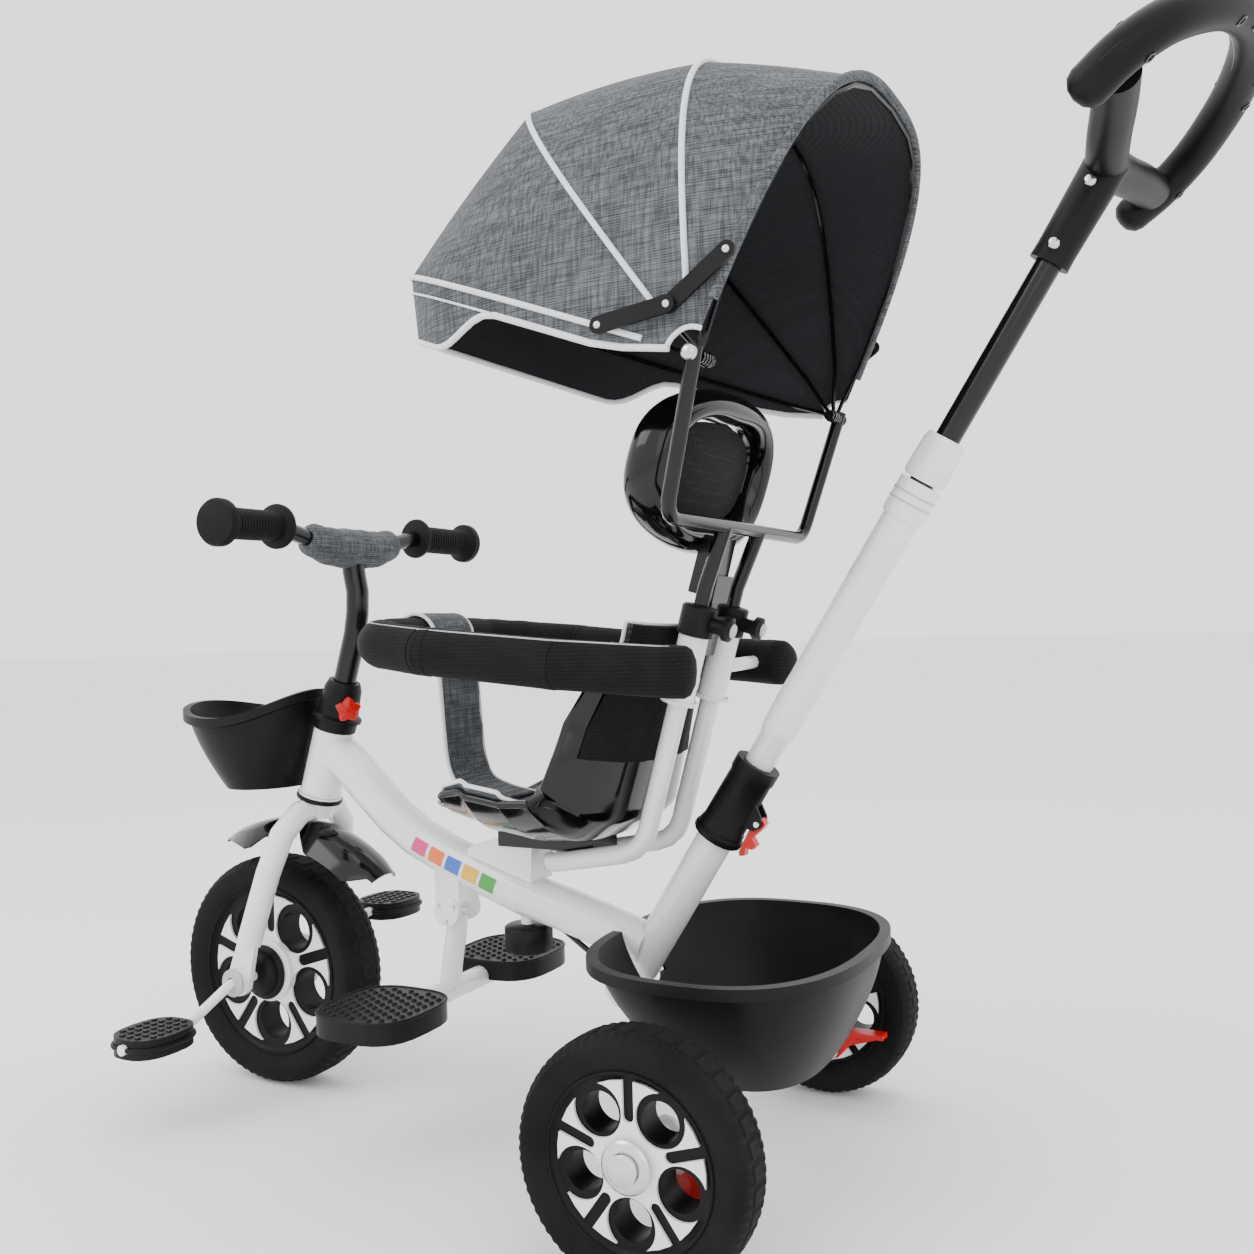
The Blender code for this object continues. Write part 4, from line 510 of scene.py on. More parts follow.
def surface(name, color, rough, metal=0.0, coat=0.0, sheen=0.0, var=0.10, vscale=22.0, bump=0.25, bscale=700.0,
            dist=0.0002, rvar=0.10, stretch=(1, 1, 1), painted_edge_highlight=0.35, weave=0.0, dots=0.0, streak=0.0, spec=0.5):
    """A procedural finish: colour variation, roughness variation, a painted highlight that lightens convex edges, grain
    or weave bump.
    """
    m, t, p = nt(name)
    N, L = t.nodes, t.links
    tc = N.new("ShaderNodeTexCoord")
    mp = N.new("ShaderNodeMapping")
    mp.inputs["Scale"].default_value = stretch
    L.new(tc.outputs["Object"], mp.inputs["Vector"])
    n1 = N.new("ShaderNodeTexNoise")
    n1.inputs["Scale"].default_value = vscale
    n1.inputs["Detail"].default_value = 5
    L.new(mp.outputs["Vector"], n1.inputs["Vector"])
    r1 = N.new("ShaderNodeValToRGB")
    r1.color_ramp.elements[0].position, r1.color_ramp.elements[1].position = 0.35, 0.65
    r1.color_ramp.elements[0].color = tuple(c * (1 - var) for c in color) + (1,)
    r1.color_ramp.elements[1].color = tuple(min(1, c * (1 + var) + var * 0.01) for c in color) + (1,)
    L.new(n1.outputs["Fac"], r1.inputs["Fac"])
    col = r1.outputs["Color"]
    height = None
    n2 = N.new("ShaderNodeTexNoise")
    n2.inputs["Scale"].default_value = bscale
    n2.inputs["Detail"].default_value = 3
    L.new(tc.outputs["Object"], n2.inputs["Vector"])
    height = n2.outputs["Fac"]

    def math_node(op, a, b):
        q = N.new("ShaderNodeMath")
        q.operation = op
        for i, x in enumerate((a, b)):
            if isinstance(x, (int, float)):
                q.inputs[i].default_value = x
            else:
                L.new(x, q.inputs[i])
        return q.outputs[0]

    def mix(fac, a, b, kind="MIX"):
        q = N.new("ShaderNodeMix")
        q.data_type = "RGBA"
        q.blend_type = kind
        for key, x in ((0, fac), (6, a), (7, b)):
            if isinstance(x, (int, float)):
                q.inputs[key].default_value = x
            elif isinstance(x, tuple):
                q.inputs[key].default_value = x
            else:
                L.new(x, q.inputs[key])
        return q.outputs[2]
    if streak:
        for sc in ((28, 28, 620), (480, 380, 26)):
            mq = N.new("ShaderNodeMapping")
            mq.inputs["Scale"].default_value = sc
            L.new(tc.outputs["Object"], mq.inputs["Vector"])
            nq = N.new("ShaderNodeTexNoise")
            nq.inputs["Scale"].default_value = 1.0
            nq.inputs["Detail"].default_value = 2
            L.new(mq.outputs["Vector"], nq.inputs["Vector"])
            rq = N.new("ShaderNodeValToRGB")
            rq.color_ramp.elements[0].position, rq.color_ramp.elements[1].position = 0.38, 0.62
            rq.color_ramp.elements[0].color = (1 - streak, 1 - streak, 1 - streak, 1)
            rq.color_ramp.elements[1].color = (1 + streak * 0.3, 1 + streak * 0.3, 1 + streak * 0.3, 1)
            L.new(nq.outputs["Fac"], rq.inputs["Fac"])
            col = mix(1.0, col, rq.outputs["Color"], "MULTIPLY")
    if weave:
        w = []
        for direction in ("X", "Z", "Y"):
            q = N.new("ShaderNodeTexWave")
            q.bands_direction = direction
            q.inputs["Scale"].default_value = weave
            q.inputs["Distortion"].default_value = 0.6
            L.new(tc.outputs["Object"], q.inputs["Vector"])
            w.append(q.outputs["Fac"])
        both = math_node("MAXIMUM", math_node("MULTIPLY", w[0], w[1]), math_node("MULTIPLY", w[1], w[2]))
        height = math_node("ADD", both, math_node("MULTIPLY", n2.outputs["Fac"], 0.4))
        col = mix(math_node("MULTIPLY", both, 0.35), col, tuple(min(1, c * 1.9 + 0.01) for c in color) + (1,))
    if dots:
        v = N.new("ShaderNodeTexVoronoi")
        v.inputs["Scale"].default_value = dots
        v.inputs["Randomness"].default_value = 0.15
        L.new(tc.outputs["Object"], v.inputs["Vector"])
        lit = math_node("LESS_THAN", v.outputs["Distance"], 0.24)
        col = mix(math_node("MULTIPLY", lit, 0.30), col, (0.05, 0.05, 0.054, 1))
        height = math_node("ADD", height, math_node("MULTIPLY", v.outputs["Distance"], 0.9))
    # painted highlight: convex edges found by pointiness are lightened towards a brighter copy of the colour, by this
    # strength
    if painted_edge_highlight:
        g = N.new("ShaderNodeNewGeometry")
        edge_highlight_ramp = N.new("ShaderNodeValToRGB")
        edge_highlight_ramp.color_ramp.elements[0].position, edge_highlight_ramp.color_ramp.elements[1].position = 0.55, 0.72
        L.new(g.outputs["Pointiness"], edge_highlight_ramp.inputs["Fac"])
        edge_highlight_colour = tuple(min(1, c * 1.25 + 0.015) for c in color) + (1,)
        col = mix(math_node("MULTIPLY", edge_highlight_ramp.outputs["Color"], painted_edge_highlight), col, edge_highlight_colour)
    L.new(col, p.inputs["Base Color"])
    ro = math_node("ADD", math_node("MULTIPLY", n1.outputs["Fac"], rvar), rough - rvar / 2)
    L.new(ro, p.inputs["Roughness"])
    bp = N.new("ShaderNodeBump")
    bp.inputs["Strength"].default_value = bump
    bp.inputs["Distance"].default_value = dist
    L.new(height, bp.inputs["Height"])
    L.new(bp.outputs["Normal"], p.inputs["Normal"])
    p.inputs["Metallic"].default_value = metal
    p.inputs["Coat Weight"].default_value = coat
    p.inputs["Coat Roughness"].default_value = 0.06
    p.inputs["Sheen Weight"].default_value = sheen
    p.inputs["Specular IOR Level"].default_value = spec
    return m


M_PAINT = surface("white gloss paint", (0.80, 0.805, 0.81), 0.22, coat=0.6, var=0.015, bump=0.06, bscale=260, painted_edge_highlight=0.1)
M_WPL = surface("white moulded plastic", (0.80, 0.805, 0.81), 0.30, coat=0.25, var=0.015, bump=0.08, bscale=420, painted_edge_highlight=0.1)
M_BLK = surface("satin black plastic", (0.0042, 0.0043, 0.0047), 0.44, var=0.12, spec=0.14, bump=0.20, bscale=1100, dist=0.00012, painted_edge_highlight=0.3)
M_GLS = surface("gloss black plastic", (0.0022, 0.0022, 0.0026), 0.13, coat=0.22, spec=0.25, var=0.1, bump=0.05, bscale=160, painted_edge_highlight=0.15)
M_STL = surface("black enamel", (0.0025, 0.0025, 0.0029), 0.22, coat=0.15, spec=0.25, var=0.1, bump=0.06, bscale=240, painted_edge_highlight=0.2)
M_RED = surface("red plastic", (0.50, 0.0015, 0.0020), 0.28, coat=0.15, spec=0.25, var=0.05, bump=0.08, bscale=420, painted_edge_highlight=0.15)
M_TYR = surface("foam rubber", (0.0055, 0.0055, 0.0058), 0.72, var=0.2, bump=0.4, bscale=1500, dist=0.0002, painted_edge_highlight=0.2, spec=0.12)
M_GRP = surface("soft rubber", (0.0045, 0.0045, 0.0049), 0.58, spec=0.13, var=0.15, bump=0.4, bscale=1300, dist=0.00015, painted_edge_highlight=0.3)
M_FAB = surface("grey melange fabric", (0.098, 0.104, 0.113), 0.90, spec=0.15, sheen=0.06, var=0.08, vscale=9, bump=0.55, dist=0.00035, weave=150.0, streak=0.50, painted_edge_highlight=0)
M_LIN = surface("charcoal lining", (0.019, 0.020, 0.0225), 0.88, spec=0.12, sheen=0.03, var=0.1, vscale=9, bump=0.45, dist=0.0003, weave=170.0, painted_edge_highlight=0)
M_MSH = surface("black mesh cloth", (0.0042, 0.0042, 0.0048), 0.80, sheen=0.03, spec=0.10, var=0.15, vscale=30, bump=0.45, dist=0.0003, weave=95.0, painted_edge_highlight=0)
M_NET = surface("spacer mesh", (0.005, 0.005, 0.0056), 0.75, sheen=0.03, spec=0.1, var=0.15, bump=0.7, dist=0.0006, dots=190.0, painted_edge_highlight=0)
M_PIP = surface("white piping", (0.72, 0.73, 0.75), 0.65, sheen=0.2, var=0.05, vscale=300, bump=0.4, bscale=900, dist=0.0002, painted_edge_highlight=0)
M_THR = surface("light thread", (0.42, 0.43, 0.45), 0.75, var=0.25, vscale=900, bump=0.5, bscale=1500, painted_edge_highlight=0)
M_SIL = surface("zinc plate", (0.62, 0.62, 0.63), 0.24, metal=1.0, var=0.06, bump=0.08, bscale=500, painted_edge_highlight=0.3)
M_GRY = surface("light grey plastic", (0.42, 0.43, 0.44), 0.4, var=0.04, bump=0.1, bscale=500, painted_edge_highlight=0.2)
SLOTS = {"white_paint": M_PAINT, "white_plastic": M_WPL, "black_plastic": M_BLK, "gloss_black_plastic": M_GLS, "black_steel": M_STL,
         "red_plastic": M_RED, "tyre": M_TYR, "grip_rubber": M_GRP, "grey_fabric": M_FAB, "black_mesh": M_MSH}
for sub in frame["record"]["subparts"]:
    ob = frame["nodes"][sub["node"]]
    ob.data.materials.clear()
    ob.data.materials.append(SLOTS[sub["material_slot"]])


def make(name, bm, mat, body, replaces=(), smooth=50.0, recalc=True):
    """A visual piece, given in the design frame and moved to the row frame."""
    if recalc:
        bmesh.ops.recalc_face_normals(bm, faces=bm.faces[:])
    me = bpy.data.meshes.new(name)
    bm.to_mesh(me)
    bm.free()
    me.transform(Matrix.Translation((0, Y_SHIFT, 0)))
    me.materials.append(mat)
    me.shade_smooth()
    me.set_sharp_from_angle(angle=math.radians(smooth))
    ob = bpy.data.objects.new(name, me)
    bpy.context.scene.collection.objects.link(ob)
    if body:
        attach(ob, body)
    if replaces:
        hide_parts(*replaces)
    return ob


def carve(ob, bm):
    """Subtract a tool from a visual piece and keep the result as its mesh."""
    bmesh.ops.recalc_face_normals(bm, faces=bm.faces[:])
    me = bpy.data.meshes.new("tool")
    bm.to_mesh(me)
    bm.free()
    me.transform(Matrix.Translation((0, Y_SHIFT, 0)))
    tool = bpy.data.objects.new("tool", me)
    bpy.context.scene.collection.objects.link(tool)
    md = ob.modifiers.new("carve", "BOOLEAN")
    md.operation, md.object, md.solver = "DIFFERENCE", tool, "EXACT"
    dg = bpy.context.evaluated_depsgraph_get()
    done = bpy.data.meshes.new_from_object(ob.evaluated_get(dg))
    ob.modifiers.clear()
    ob.data = done
    bpy.data.objects.remove(tool, do_unlink=True)
    done.shade_smooth()
    done.set_sharp_from_angle(angle=math.radians(40))
    return ob


def smooth_copy(node, angle=42.0):
    """The same part with its facets welded, so that curved faces shade as curves."""
    src = frame["nodes"][node]
    me = src.data.copy()
    me.transform(src.matrix_world)
    bm = bmesh.new()
    bm.from_mesh(me)
    bmesh.ops.remove_doubles(bm, verts=bm.verts[:], dist=0.00002)
    bmesh.ops.recalc_face_normals(bm, faces=bm.faces[:])
    bm.to_mesh(me)
    bm.free()
    if me.has_custom_normals:
        me.free_normals_split() if hasattr(me, "free_normals_split") else None
    for name in ("custom_normal",):
        at = me.attributes.get(name)
        if at:
            me.attributes.remove(at)
    me.shade_smooth()
    me.set_sharp_from_angle(angle=math.radians(angle))
    ob = bpy.data.objects.new(node + "_skin", me)
    bpy.context.scene.collection.objects.link(ob)
    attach(ob, OWNER_OF[node])
    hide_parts(node)
    return ob


OWNER_OF = {n: b for b, ns in frame["record"]["behaviour"]["bodies"].items() for n in ns}
REBUILT = ["front_tyre", "left_rear_tyre", "right_rear_tyre", "canopy_panel_rear", "canopy_panel_middle", "canopy_panel_front", "seat_cover", "left_guard_pad", "right_guard_pad",
           "crotch_strap", "handlebar_cover", "left_grip", "right_grip", "headrest_mesh", "seat_shell", "front_mudguard", "headrest_frame", "push_handle", "front_basket", "rear_basket"] + [w + q for w in ("front", "left_rear", "right_rear") for q in ("_rim", "_spoke_disc")]
for node in sorted(OWNER_OF):
    if node not in REBUILT:
        smooth_copy(node)

# seat shell, mudguard, tubs, headrest ring and push handle in full curvature
us_f = [i / 60 for i in range(61)]
vs_f = [-1 + 2 * i / 48 for i in range(49)]
make("seat_shell_skin", sheet_solid(-0.0055, 0.0, us_f, vs_f), M_GLS, "frame", ["seat_shell"], 50)
make("seat_mount_skin", plate([(-0.0240, -0.2550), (0.0240, -0.2550), (0.0240, -0.1450), (-0.0240, -0.1450)], 0.0152, (0, 0, 0.2944), X, Y), M_GLS, "frame")
make("seat_rim", sweep([seat_section(1 - i / 60, -1.0, -0.0026) for i in range(61)] + [seat_section(0, v, -0.0026) for v in vs_f[1:-1]] + [seat_section(i / 60, 1.0, -0.0026) for i in range(61)], 0.0036, 10, hint=X), M_GLS, "frame")
make("mudguard_skin", mudguard([(-0.6446, 0.2720), (-0.5408, 0.2980), (-0.4150, 0.2438)], 61), M_GLS, "steering", ["front_mudguard"], 50)
tubf = make("front_basket_skin", tub((0, -0.5950, 0.0760, 0.0850, 2.05), (0, -0.5830, 0.0520, 0.0430, 2.05), front_rim, 0.3340, 14, 0.0028, 0.0050, 96), M_BLK, "steering", ["front_basket"], 50)
carve(tubf, cylinder(steer(0.18), steer(0.40), 0.0280, 48))
tubr = make("rear_basket_skin", tub(REAR_TUB[0], REAR_TUB[1], rear_rim, 0.1080, 14, 0.0028, 0.0070, 112), M_BLK, "frame", ["rear_basket"], 50)
carve(tubr, plate([(-0.0245, -0.1500), (0.0245, -0.1500), (0.0245, -0.0860), (-0.0245, -0.0860)], 0.1100, (0, 0, 0.2230), X, Y))
carve(tubr, cylinder(push(-0.02), push(0.40), 0.0210, 48, hint=X))
HR_V = Vector((0, 0.3130, 0.9497))
wv = HR_U.cross(HR_V).normalized()
rr = []
for i in range(96):
    t = 2 * math.pi * i / 96
    c, sn = math.cos(t), math.sin(t)
    u = 0.1100 * math.copysign(abs(c) ** (2 / 2.5), c)
    v = 0.0620 * math.copysign(abs(sn) ** (2 / 2.5), sn)
    pp = HR_MID + HR_U * u + HR_V * v + wv * (0.0080 * (abs(u) / 0.110) ** 2)
    ctr = (HR_U * u + HR_V * v).normalized()
    rr.append([pp + ctr * (0.0140 * math.cos(q)) + wv * (0.0210 * math.sin(q)) for q in [2 * math.pi * k / 28 for k in range(28)]])
make("headrest_ring_skin", loft(rr, closed=True), M_GLS, "headrest", ["headrest_frame"], 60)
make("headrest_neck_skin", plate([(-0.0170, 0.0350), (0.0170, 0.0350), (0.0150, 0.0900), (-0.0150, 0.0900)], 0.0220, POST_TOP - REARWARD * 0.0140, X, POST_DIR), M_GLS, "headrest")
make("headrest_stem_skin", plate([(-0.0155, -0.0200), (0.0155, -0.0200), (0.0175, 0.0560), (-0.0175, 0.0560)], 0.0090, POST_TOP - REARWARD * 0.0030, X, POST_DIR), M_GLS, "headrest")
blk = lathe([(0, 0.7690), (0.0170, 0.7690), (0.0165, 0.7800), (0.0180, 0.8560), (0.0165, 0.8590), (0, 0.8600)], PUSH_FOOT, PUSH_DIR, 40, hint=X)
hb = make("handle_block_skin", blk, M_BLK, "push_handle", ["push_handle"], 50)
VD = Vector((0, 0.8031, 0.5958)).normalized()
NN = X.cross(VD).normalized()
JOIN = Vector((0, 0.3345, 0.8640))


def loop_pt(x, v, lift=0.0):
    return JOIN + X * x + VD * v + NN * lift


arm = catmull([loop_pt(-0.1330, 0.0200), loop_pt(-0.0900, 0.0120), loop_pt(-0.0400, 0.0), loop_pt(0, -0.0060), loop_pt(0.0400, 0.0), loop_pt(0.0900, 0.0120), loop_pt(0.1330, 0.0200)], 8)
make("handle_arm_skin", sweep(arm, 0.0163, 32, hint=NN), M_BLK, "push_handle", (), 60)
half = [(0.1500, -0.0020), (0.1520, 0.0280), (0.1380, 0.0600), (0.1070, 0.0880), (0.0720, 0.1080), (0.0320, 0.1205), (0, 0.1235)]
ctrl = [loop_pt(x, v) for x, v in half] + [loop_pt(-x, v) for x, v in reversed(half[:-1])]
lp = catmull(ctrl, 8)
make("handle_loop_skin", sweep(lp, 0.0160, 32, hint=NN, ends=0.012), M_BLK, "push_handle", (), 60)
for k, sg in enumerate((1, -1)):
    make("handle_seam_%d" % k, sweep([q + (q - loop_pt(0, 0.03)).normalized() * (sg * 0.0157) for q in lp[4:-4]], 0.0006, 6, hint=NN), M_GLS, "push_handle")
for k, i in enumerate((10, 30, len(lp) // 2 - 12, len(lp) // 2 + 12, len(lp) - 31, len(lp) - 11)):
    for sg in (1, -1):
        make(f"handle_screw_{k}_{sg > 0}", lathe([(0, 0.0150), (0.0042, 0.0150), (0.0042, 0.0166), (0.0028, 0.0166), (0.0024, 0.0158), (0, 0.0158)], lp[i], NN * sg, 18), M_GLS, "push_handle")

# ---------------------------------------------------------------- tyres with tread
def tread_tyre(prefix, body, c, radius, width, bead):
    hw = width / 2
    rb = radius * bead
    prof = [(rb, -0.74), (radius * 0.80, -0.90), (radius * 0.88, -1.0), (radius * 0.925, -0.97), (radius * 0.965, -0.84), (radius * 0.985, -0.66), (radius * 0.996, -0.50),
            (radius, -0.40), (radius, -0.30), (radius, -0.10), (radius, 0.10), (radius, 0.30), (radius, 0.40),
            (radius * 0.996, 0.50), (radius * 0.985, 0.66), (radius * 0.965, 0.84), (radius * 0.925, 0.97), (radius * 0.88, 1.0), (radius * 0.80, 0.90), (rb, 0.74)]
    blocks = 36
    seg = blocks * 8
    rows = []
    for k, (r, h) in enumerate(prof):
        ring = []
        for i in range(seg):
            a = 2 * math.pi * (i + 0.5) / seg
            q = i % 8
            d = 0.0
            if abs(h) <= 0.31:
                d = 0.0020 if q in (0, 1) else (0.0007 if (q == 4 and abs(h) < 0.15) else 0.0)
            elif 0.35 < abs(h) < 0.45:
                d = 0.0016
            elif 0.45 < abs(h) < 0.90:
                d = 0.0010 if i % 4 < 2 else 0.0
            rr = r - d
            ring.append(c + X * (h * hw) + Y * (rr * math.sin(a)) + Z * (rr * math.cos(a)))
        rows.append(ring)
    return make(prefix + "_tyre_tread", loft(rows, closed=True, caps=False), M_TYR, body, [prefix + "_tyre"], 28)


def wheel_skin(prefix, owner, centre, radius, width, bead, bore, hub_r, hub_len):
    """Moulded rim with five round windows and the white spoke piece, in full curvature."""
    c = Vector(centre)
    rb = radius * bead
    hw = width / 2
    ro = rb - GAP
    web = hw * 0.52
    rim = [(hub_r + GAP, -web), (ro - 0.0050, -web), (ro - 0.0030, -web - 0.0010), (ro, -hw * 0.74), (ro, hw * 0.74), (ro - 0.0030, web + 0.0010), (ro - 0.0050, web), (hub_r + GAP, web)]
    r = make(prefix + "_rim_skin", lathe(rim, c, X, 112, phase=0.5), M_BLK, owner, [prefix + "_rim"], 45)
    rd = rb * 0.89
    wins = []
    for k in range(5):
        a = math.radians(72 * k + 36)
        at = c + Vector((0, math.sin(a), math.cos(a))) * (rd * 0.68)
        wins.append(cylinder(at - X * hw, at + X * hw, rd * 0.255, 40))
    carve(r, together(*wins))
    hub = [(bore, -hub_len), (hub_r * 0.60, -hub_len), (hub_r * 0.90, -hub_len + 0.0012), (hub_r, -hub_len + 0.004), (hub_r, hub_len - 0.004), (hub_r * 0.90, hub_len - 0.0012), (hub_r * 0.60, hub_len), (bore, hub_len)]
    make(prefix + "_hub_skin", lathe(hub, c, X, 56), M_WPL, owner, [prefix + "_spoke_disc"], 45)
    for side, sgn in (("outer", 1), ("inner", -1)):
        make(f"{prefix}_{side}_disc_skin", disc_mesh(disc_outline(rd, 0.33, 0.075), hub_r - 0.0020, 0.0026, c + X * sgn * (web + 0.0013 + GAP), sgn), M_WPL, owner, (), 30)
        bead_ring = [c + X * (sgn * (hw * 0.74 + 0.0006)) + Y * ((rb - 0.0012) * math.sin(q)) + Z * ((rb - 0.0012) * math.cos(q)) for q in [2 * math.pi * i / 96 for i in range(97)]]
        make(f"{prefix}_{side}_bead", sweep(bead_ring, 0.0014, 8, hint=X), M_TYR, owner)


wheel_skin("front", "front_wheel", FRONT_AXLE, FRONT_R, FRONT_W, 0.744, CRANK_R + 2 * GAP, 0.0340, 0.0280)
for side, sx in (("left", 1), ("right", -1)):
    wheel_skin(side + "_rear", side + "_rear_wheel", (sx * REAR_X, 0, REAR_R), REAR_R, REAR_W, 0.716, 0.0050 + 2 * GAP, 0.0150, 0.0200)
tread_tyre("front", "front_wheel", FRONT_AXLE, FRONT_R, FRONT_W, 0.744)
for side, sx in (("left", 1), ("right", -1)):
    tread_tyre(side + "_rear", side + "_rear_wheel", Vector((sx * REAR_X, 0, REAR_R)), REAR_R, REAR_W, 0.716)
    cap = [(0.0122, 0.0206), (0.0200, 0.0206), (0.0205, 0.0225), (0.0185, 0.0245), (0.0150, 0.0252), (0.0122, 0.0252)]
    make(side + "_hub_cap", lathe(cap, (sx * REAR_X, 0, REAR_R), X * sx, 48), M_SIL, side + "_rear_wheel")
    nut = [(0.0052, 0.0262), (0.0098, 0.0262), (0.0094, 0.0278), (0.0060, 0.0280), (0.0052, 0.0280)]
    dome = [(0.0058, 0.0200), (0.0128, 0.0285), (0.0126, 0.0292), (0.0100, 0.0322), (0.0050, 0.0338), (0.0, 0.0342)]
    make(side + "_axle_cap", lathe([(0, 0.0283)] + [(0.0118, 0.0283), (0.0122, 0.0290), (0.0100, 0.0305), (0, 0.0310)], (sx * REAR_X, 0, REAR_R), X * sx, 32), M_SIL, "frame")
    hub = [(0.0064, 0.0284), (0.0300, 0.0284), (0.0305, 0.0300), (0.0285, 0.0330), (0.0250, 0.0340), (0.0245, 0.0370), (0.0200, 0.0420), (0.0130, 0.0450), (0.0064, 0.0455)]
    make(side + "_front_hub_dome", lathe(hub, FRONT_AXLE, X * sx, 56), M_BLK, "front_wheel")
    wash = [(0.0130, 0.0), (0.0165, 0.0), (0.0165, 0.0028), (0.0130, 0.0034)]
    make(side + "_fork_washer", lathe([(0.0064, 0.0742), (0.0150, 0.0742), (0.0150, 0.0768), (0.0100, 0.0782), (0.0064, 0.0782)], FRONT_AXLE, X * sx, 40), M_GRY, "steering")
    make(side + "_brake_rivet", lathe([(0, 0.1851), (0.0052, 0.1851), (0.0050, 0.1872), (0, 0.1878)], (0, 0.0172, 0.0570), X * sx, 24), M_SIL, "frame")

# ---------------------------------------------------------------- canopy
BODY = {"d": "canopy_frame", "c": "rib_c", "b": "rib_b", "a": "rib_a"}


def gore_grid(k1, k2, off, cols, count, foot=0.020, visor=False):
    (p1, h1, a1, n1), (p2, h2, a2, n2) = RIBS[k1], RIBS[k2]
    rows, angles = [], []
    for c in range(cols + 1):
        w = c / cols
        phi = p1 + (p2 - p1) * w
        half = math.radians(abs(p2 - p1)) / 2
        flat = math.cos(half) / math.cos(half * (2 * w - 1))
        dip = 1.0 + 0.82 * (flat - 1.0)
        h, a, n = h1 + (h2 - h1) * w + off, a1 + (a2 - a1) * w + off, n1 + (n2 - n1) * w
        d = rib_dir(phi)
        side = [(a, foot)] + [(x, max(r, foot + 0.002 * (i + 1))) for i, (x, r) in enumerate(arch_xy(h, a, n, count)[1:])]
        full = side + [(-x, r) for x, r in reversed(side[:-1])]
        rows.append([CANOPY_PIVOT + X * x + d * (r * (dip if r > 0.1 else 1.0)) for x, r in full])
        angles.append(1.0 - w)
    if visor:
        d = rib_dir(p1)
        low_rows = []
        for part in (1.0, 0.75, 0.5, 0.25):
            low_row = []
            for p in rows[0]:
                r = (p - CANOPY_PIVOT).dot(d)
                t = min(1.0, max(0.0, (r - 0.20) / 0.09))
                drop = (0.0160 * min(1.0, max(0.1, (r - 0.02) / 0.06)) + 0.0450 * t * t * (3 - 2 * t)) * part
                low_row.append(p - Z * drop + Y * (0.10 * drop))
            low_rows.append(low_row)
        rows = low_rows + rows
        angles = [1.0] * 4 + angles
    return rows, angles


def open_grid(rows):
    bm = bmesh.new()
    vv = [[bm.verts.new(p) for p in row] for row in rows]
    for i in range(len(vv) - 1):
        for j in range(len(vv[0]) - 1):
            bm.faces.new((vv[i][j], vv[i][j + 1], vv[i + 1][j + 1], vv[i + 1][j]))
    return bm


for nm, k1, k2, cols, node, vis in (("rear", "c", "d", 14, "canopy_panel_rear", False), ("middle", "b", "c", 16, "canopy_panel_middle", False), ("front", "a", "b", 16, "canopy_panel_front", True)):
    for layer, off, mat in (("cloth", 0.0056, M_FAB), ("lining", 0.0034, M_LIN)):
        rows, share = gore_grid(k1, k2, off, cols, 30, visor=vis)
        ob = make(f"canopy_{nm}_{layer}", open_grid(rows), mat, None, (), 60, recalc=True)
        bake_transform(ob)
    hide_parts(node)

for key in "abcd":
    phi, h, a, n = RIBS[key]
    d = rib_dir(phi)
    pts = [(a + 0.0062, 0.044)] + [(x, r) for x, r in arch_xy(h + 0.0062, a + 0.0062, n, 30) if r > 0.05]
    full = pts + [(-x, r) for x, r in reversed(pts[:-1])]
    path = [CANOPY_PIVOT + X * x + d * r for x, r in full]
    make("piping_" + key, sweep(path, 0.0026 if key != "d" else 0.0042, 12, hint=X.cross(d)), M_PIP if key != "d" else M_FAB, BODY[key])
for nm, k1, k2 in (("rear", "c", "d"), ("middle", "b", "c"), ("front", "a", "b")):
    edge_rows, share = gore_grid(k1, k2, 0.0056, 12, 30)
    for sd, pick in (("left", 0), ("right", -1)):
        tape = make(f"tape_{nm}_{sd}", sweep([row[pick] + X * (0.0004 if pick == 0 else -0.0004) for row in edge_rows], 0.0022, 8, hint=X), M_PIP, None)
        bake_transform(tape)
        co = [v.co for v in tape.data.vertices]
vis_rows, _ = gore_grid("a", "b", 0.0046, 8, 30, visor=True)
make("visor_binding", sweep(vis_rows[0], 0.0030, 10, hint=Y), M_PIP, "rib_a")
# seam band above the visor
band = [p - Z * 0.0155 + Y * 0.0016 + (X * math.copysign(0.0009, p.x)) for p in gore_grid("a", "b", 0.0058, 8, 30)[0][0][3:-3]]
make("visor_band", sweep(band, 0.0011, 8, hint=Y), M_PIP, "rib_a")
for side, sx in (("left", 1), ("right", -1)):
    for nm, at, body in (("one", LINK_1, side + "_front_link"), ("two", LINK_2, side + "_front_link"), ("three", LINK_3, side + "_rear_link")):
        make(f"{side}_link_rivet_{nm}", lathe([(0, 0.1880), (0.0034, 0.1880), (0.0034, 0.1952 if nm != "three" else 0.1922), (0.0022, 0.1968 if nm != "three" else 0.1938), (0, 0.1972 if nm != "three" else 0.1942)],
                                               Vector((0, at.y, at.z)), X * sx, 20), M_SIL, body)
    make(side + "_pivot_rivet", lathe([(0, 0.1850), (0.0064, 0.1850), (0.0062, 0.1886), (0.0040, 0.1904), (0, 0.1910)], CANOPY_PIVOT, X * sx, 28), M_SIL, "canopy_frame")

# ---------------------------------------------------------------- seat cover: quilted pad with piping
def edge_round(s, width=0.10):
    return math.sqrt(max(0.0, 1 - (1 - min(1.0, s / width)) ** 2))


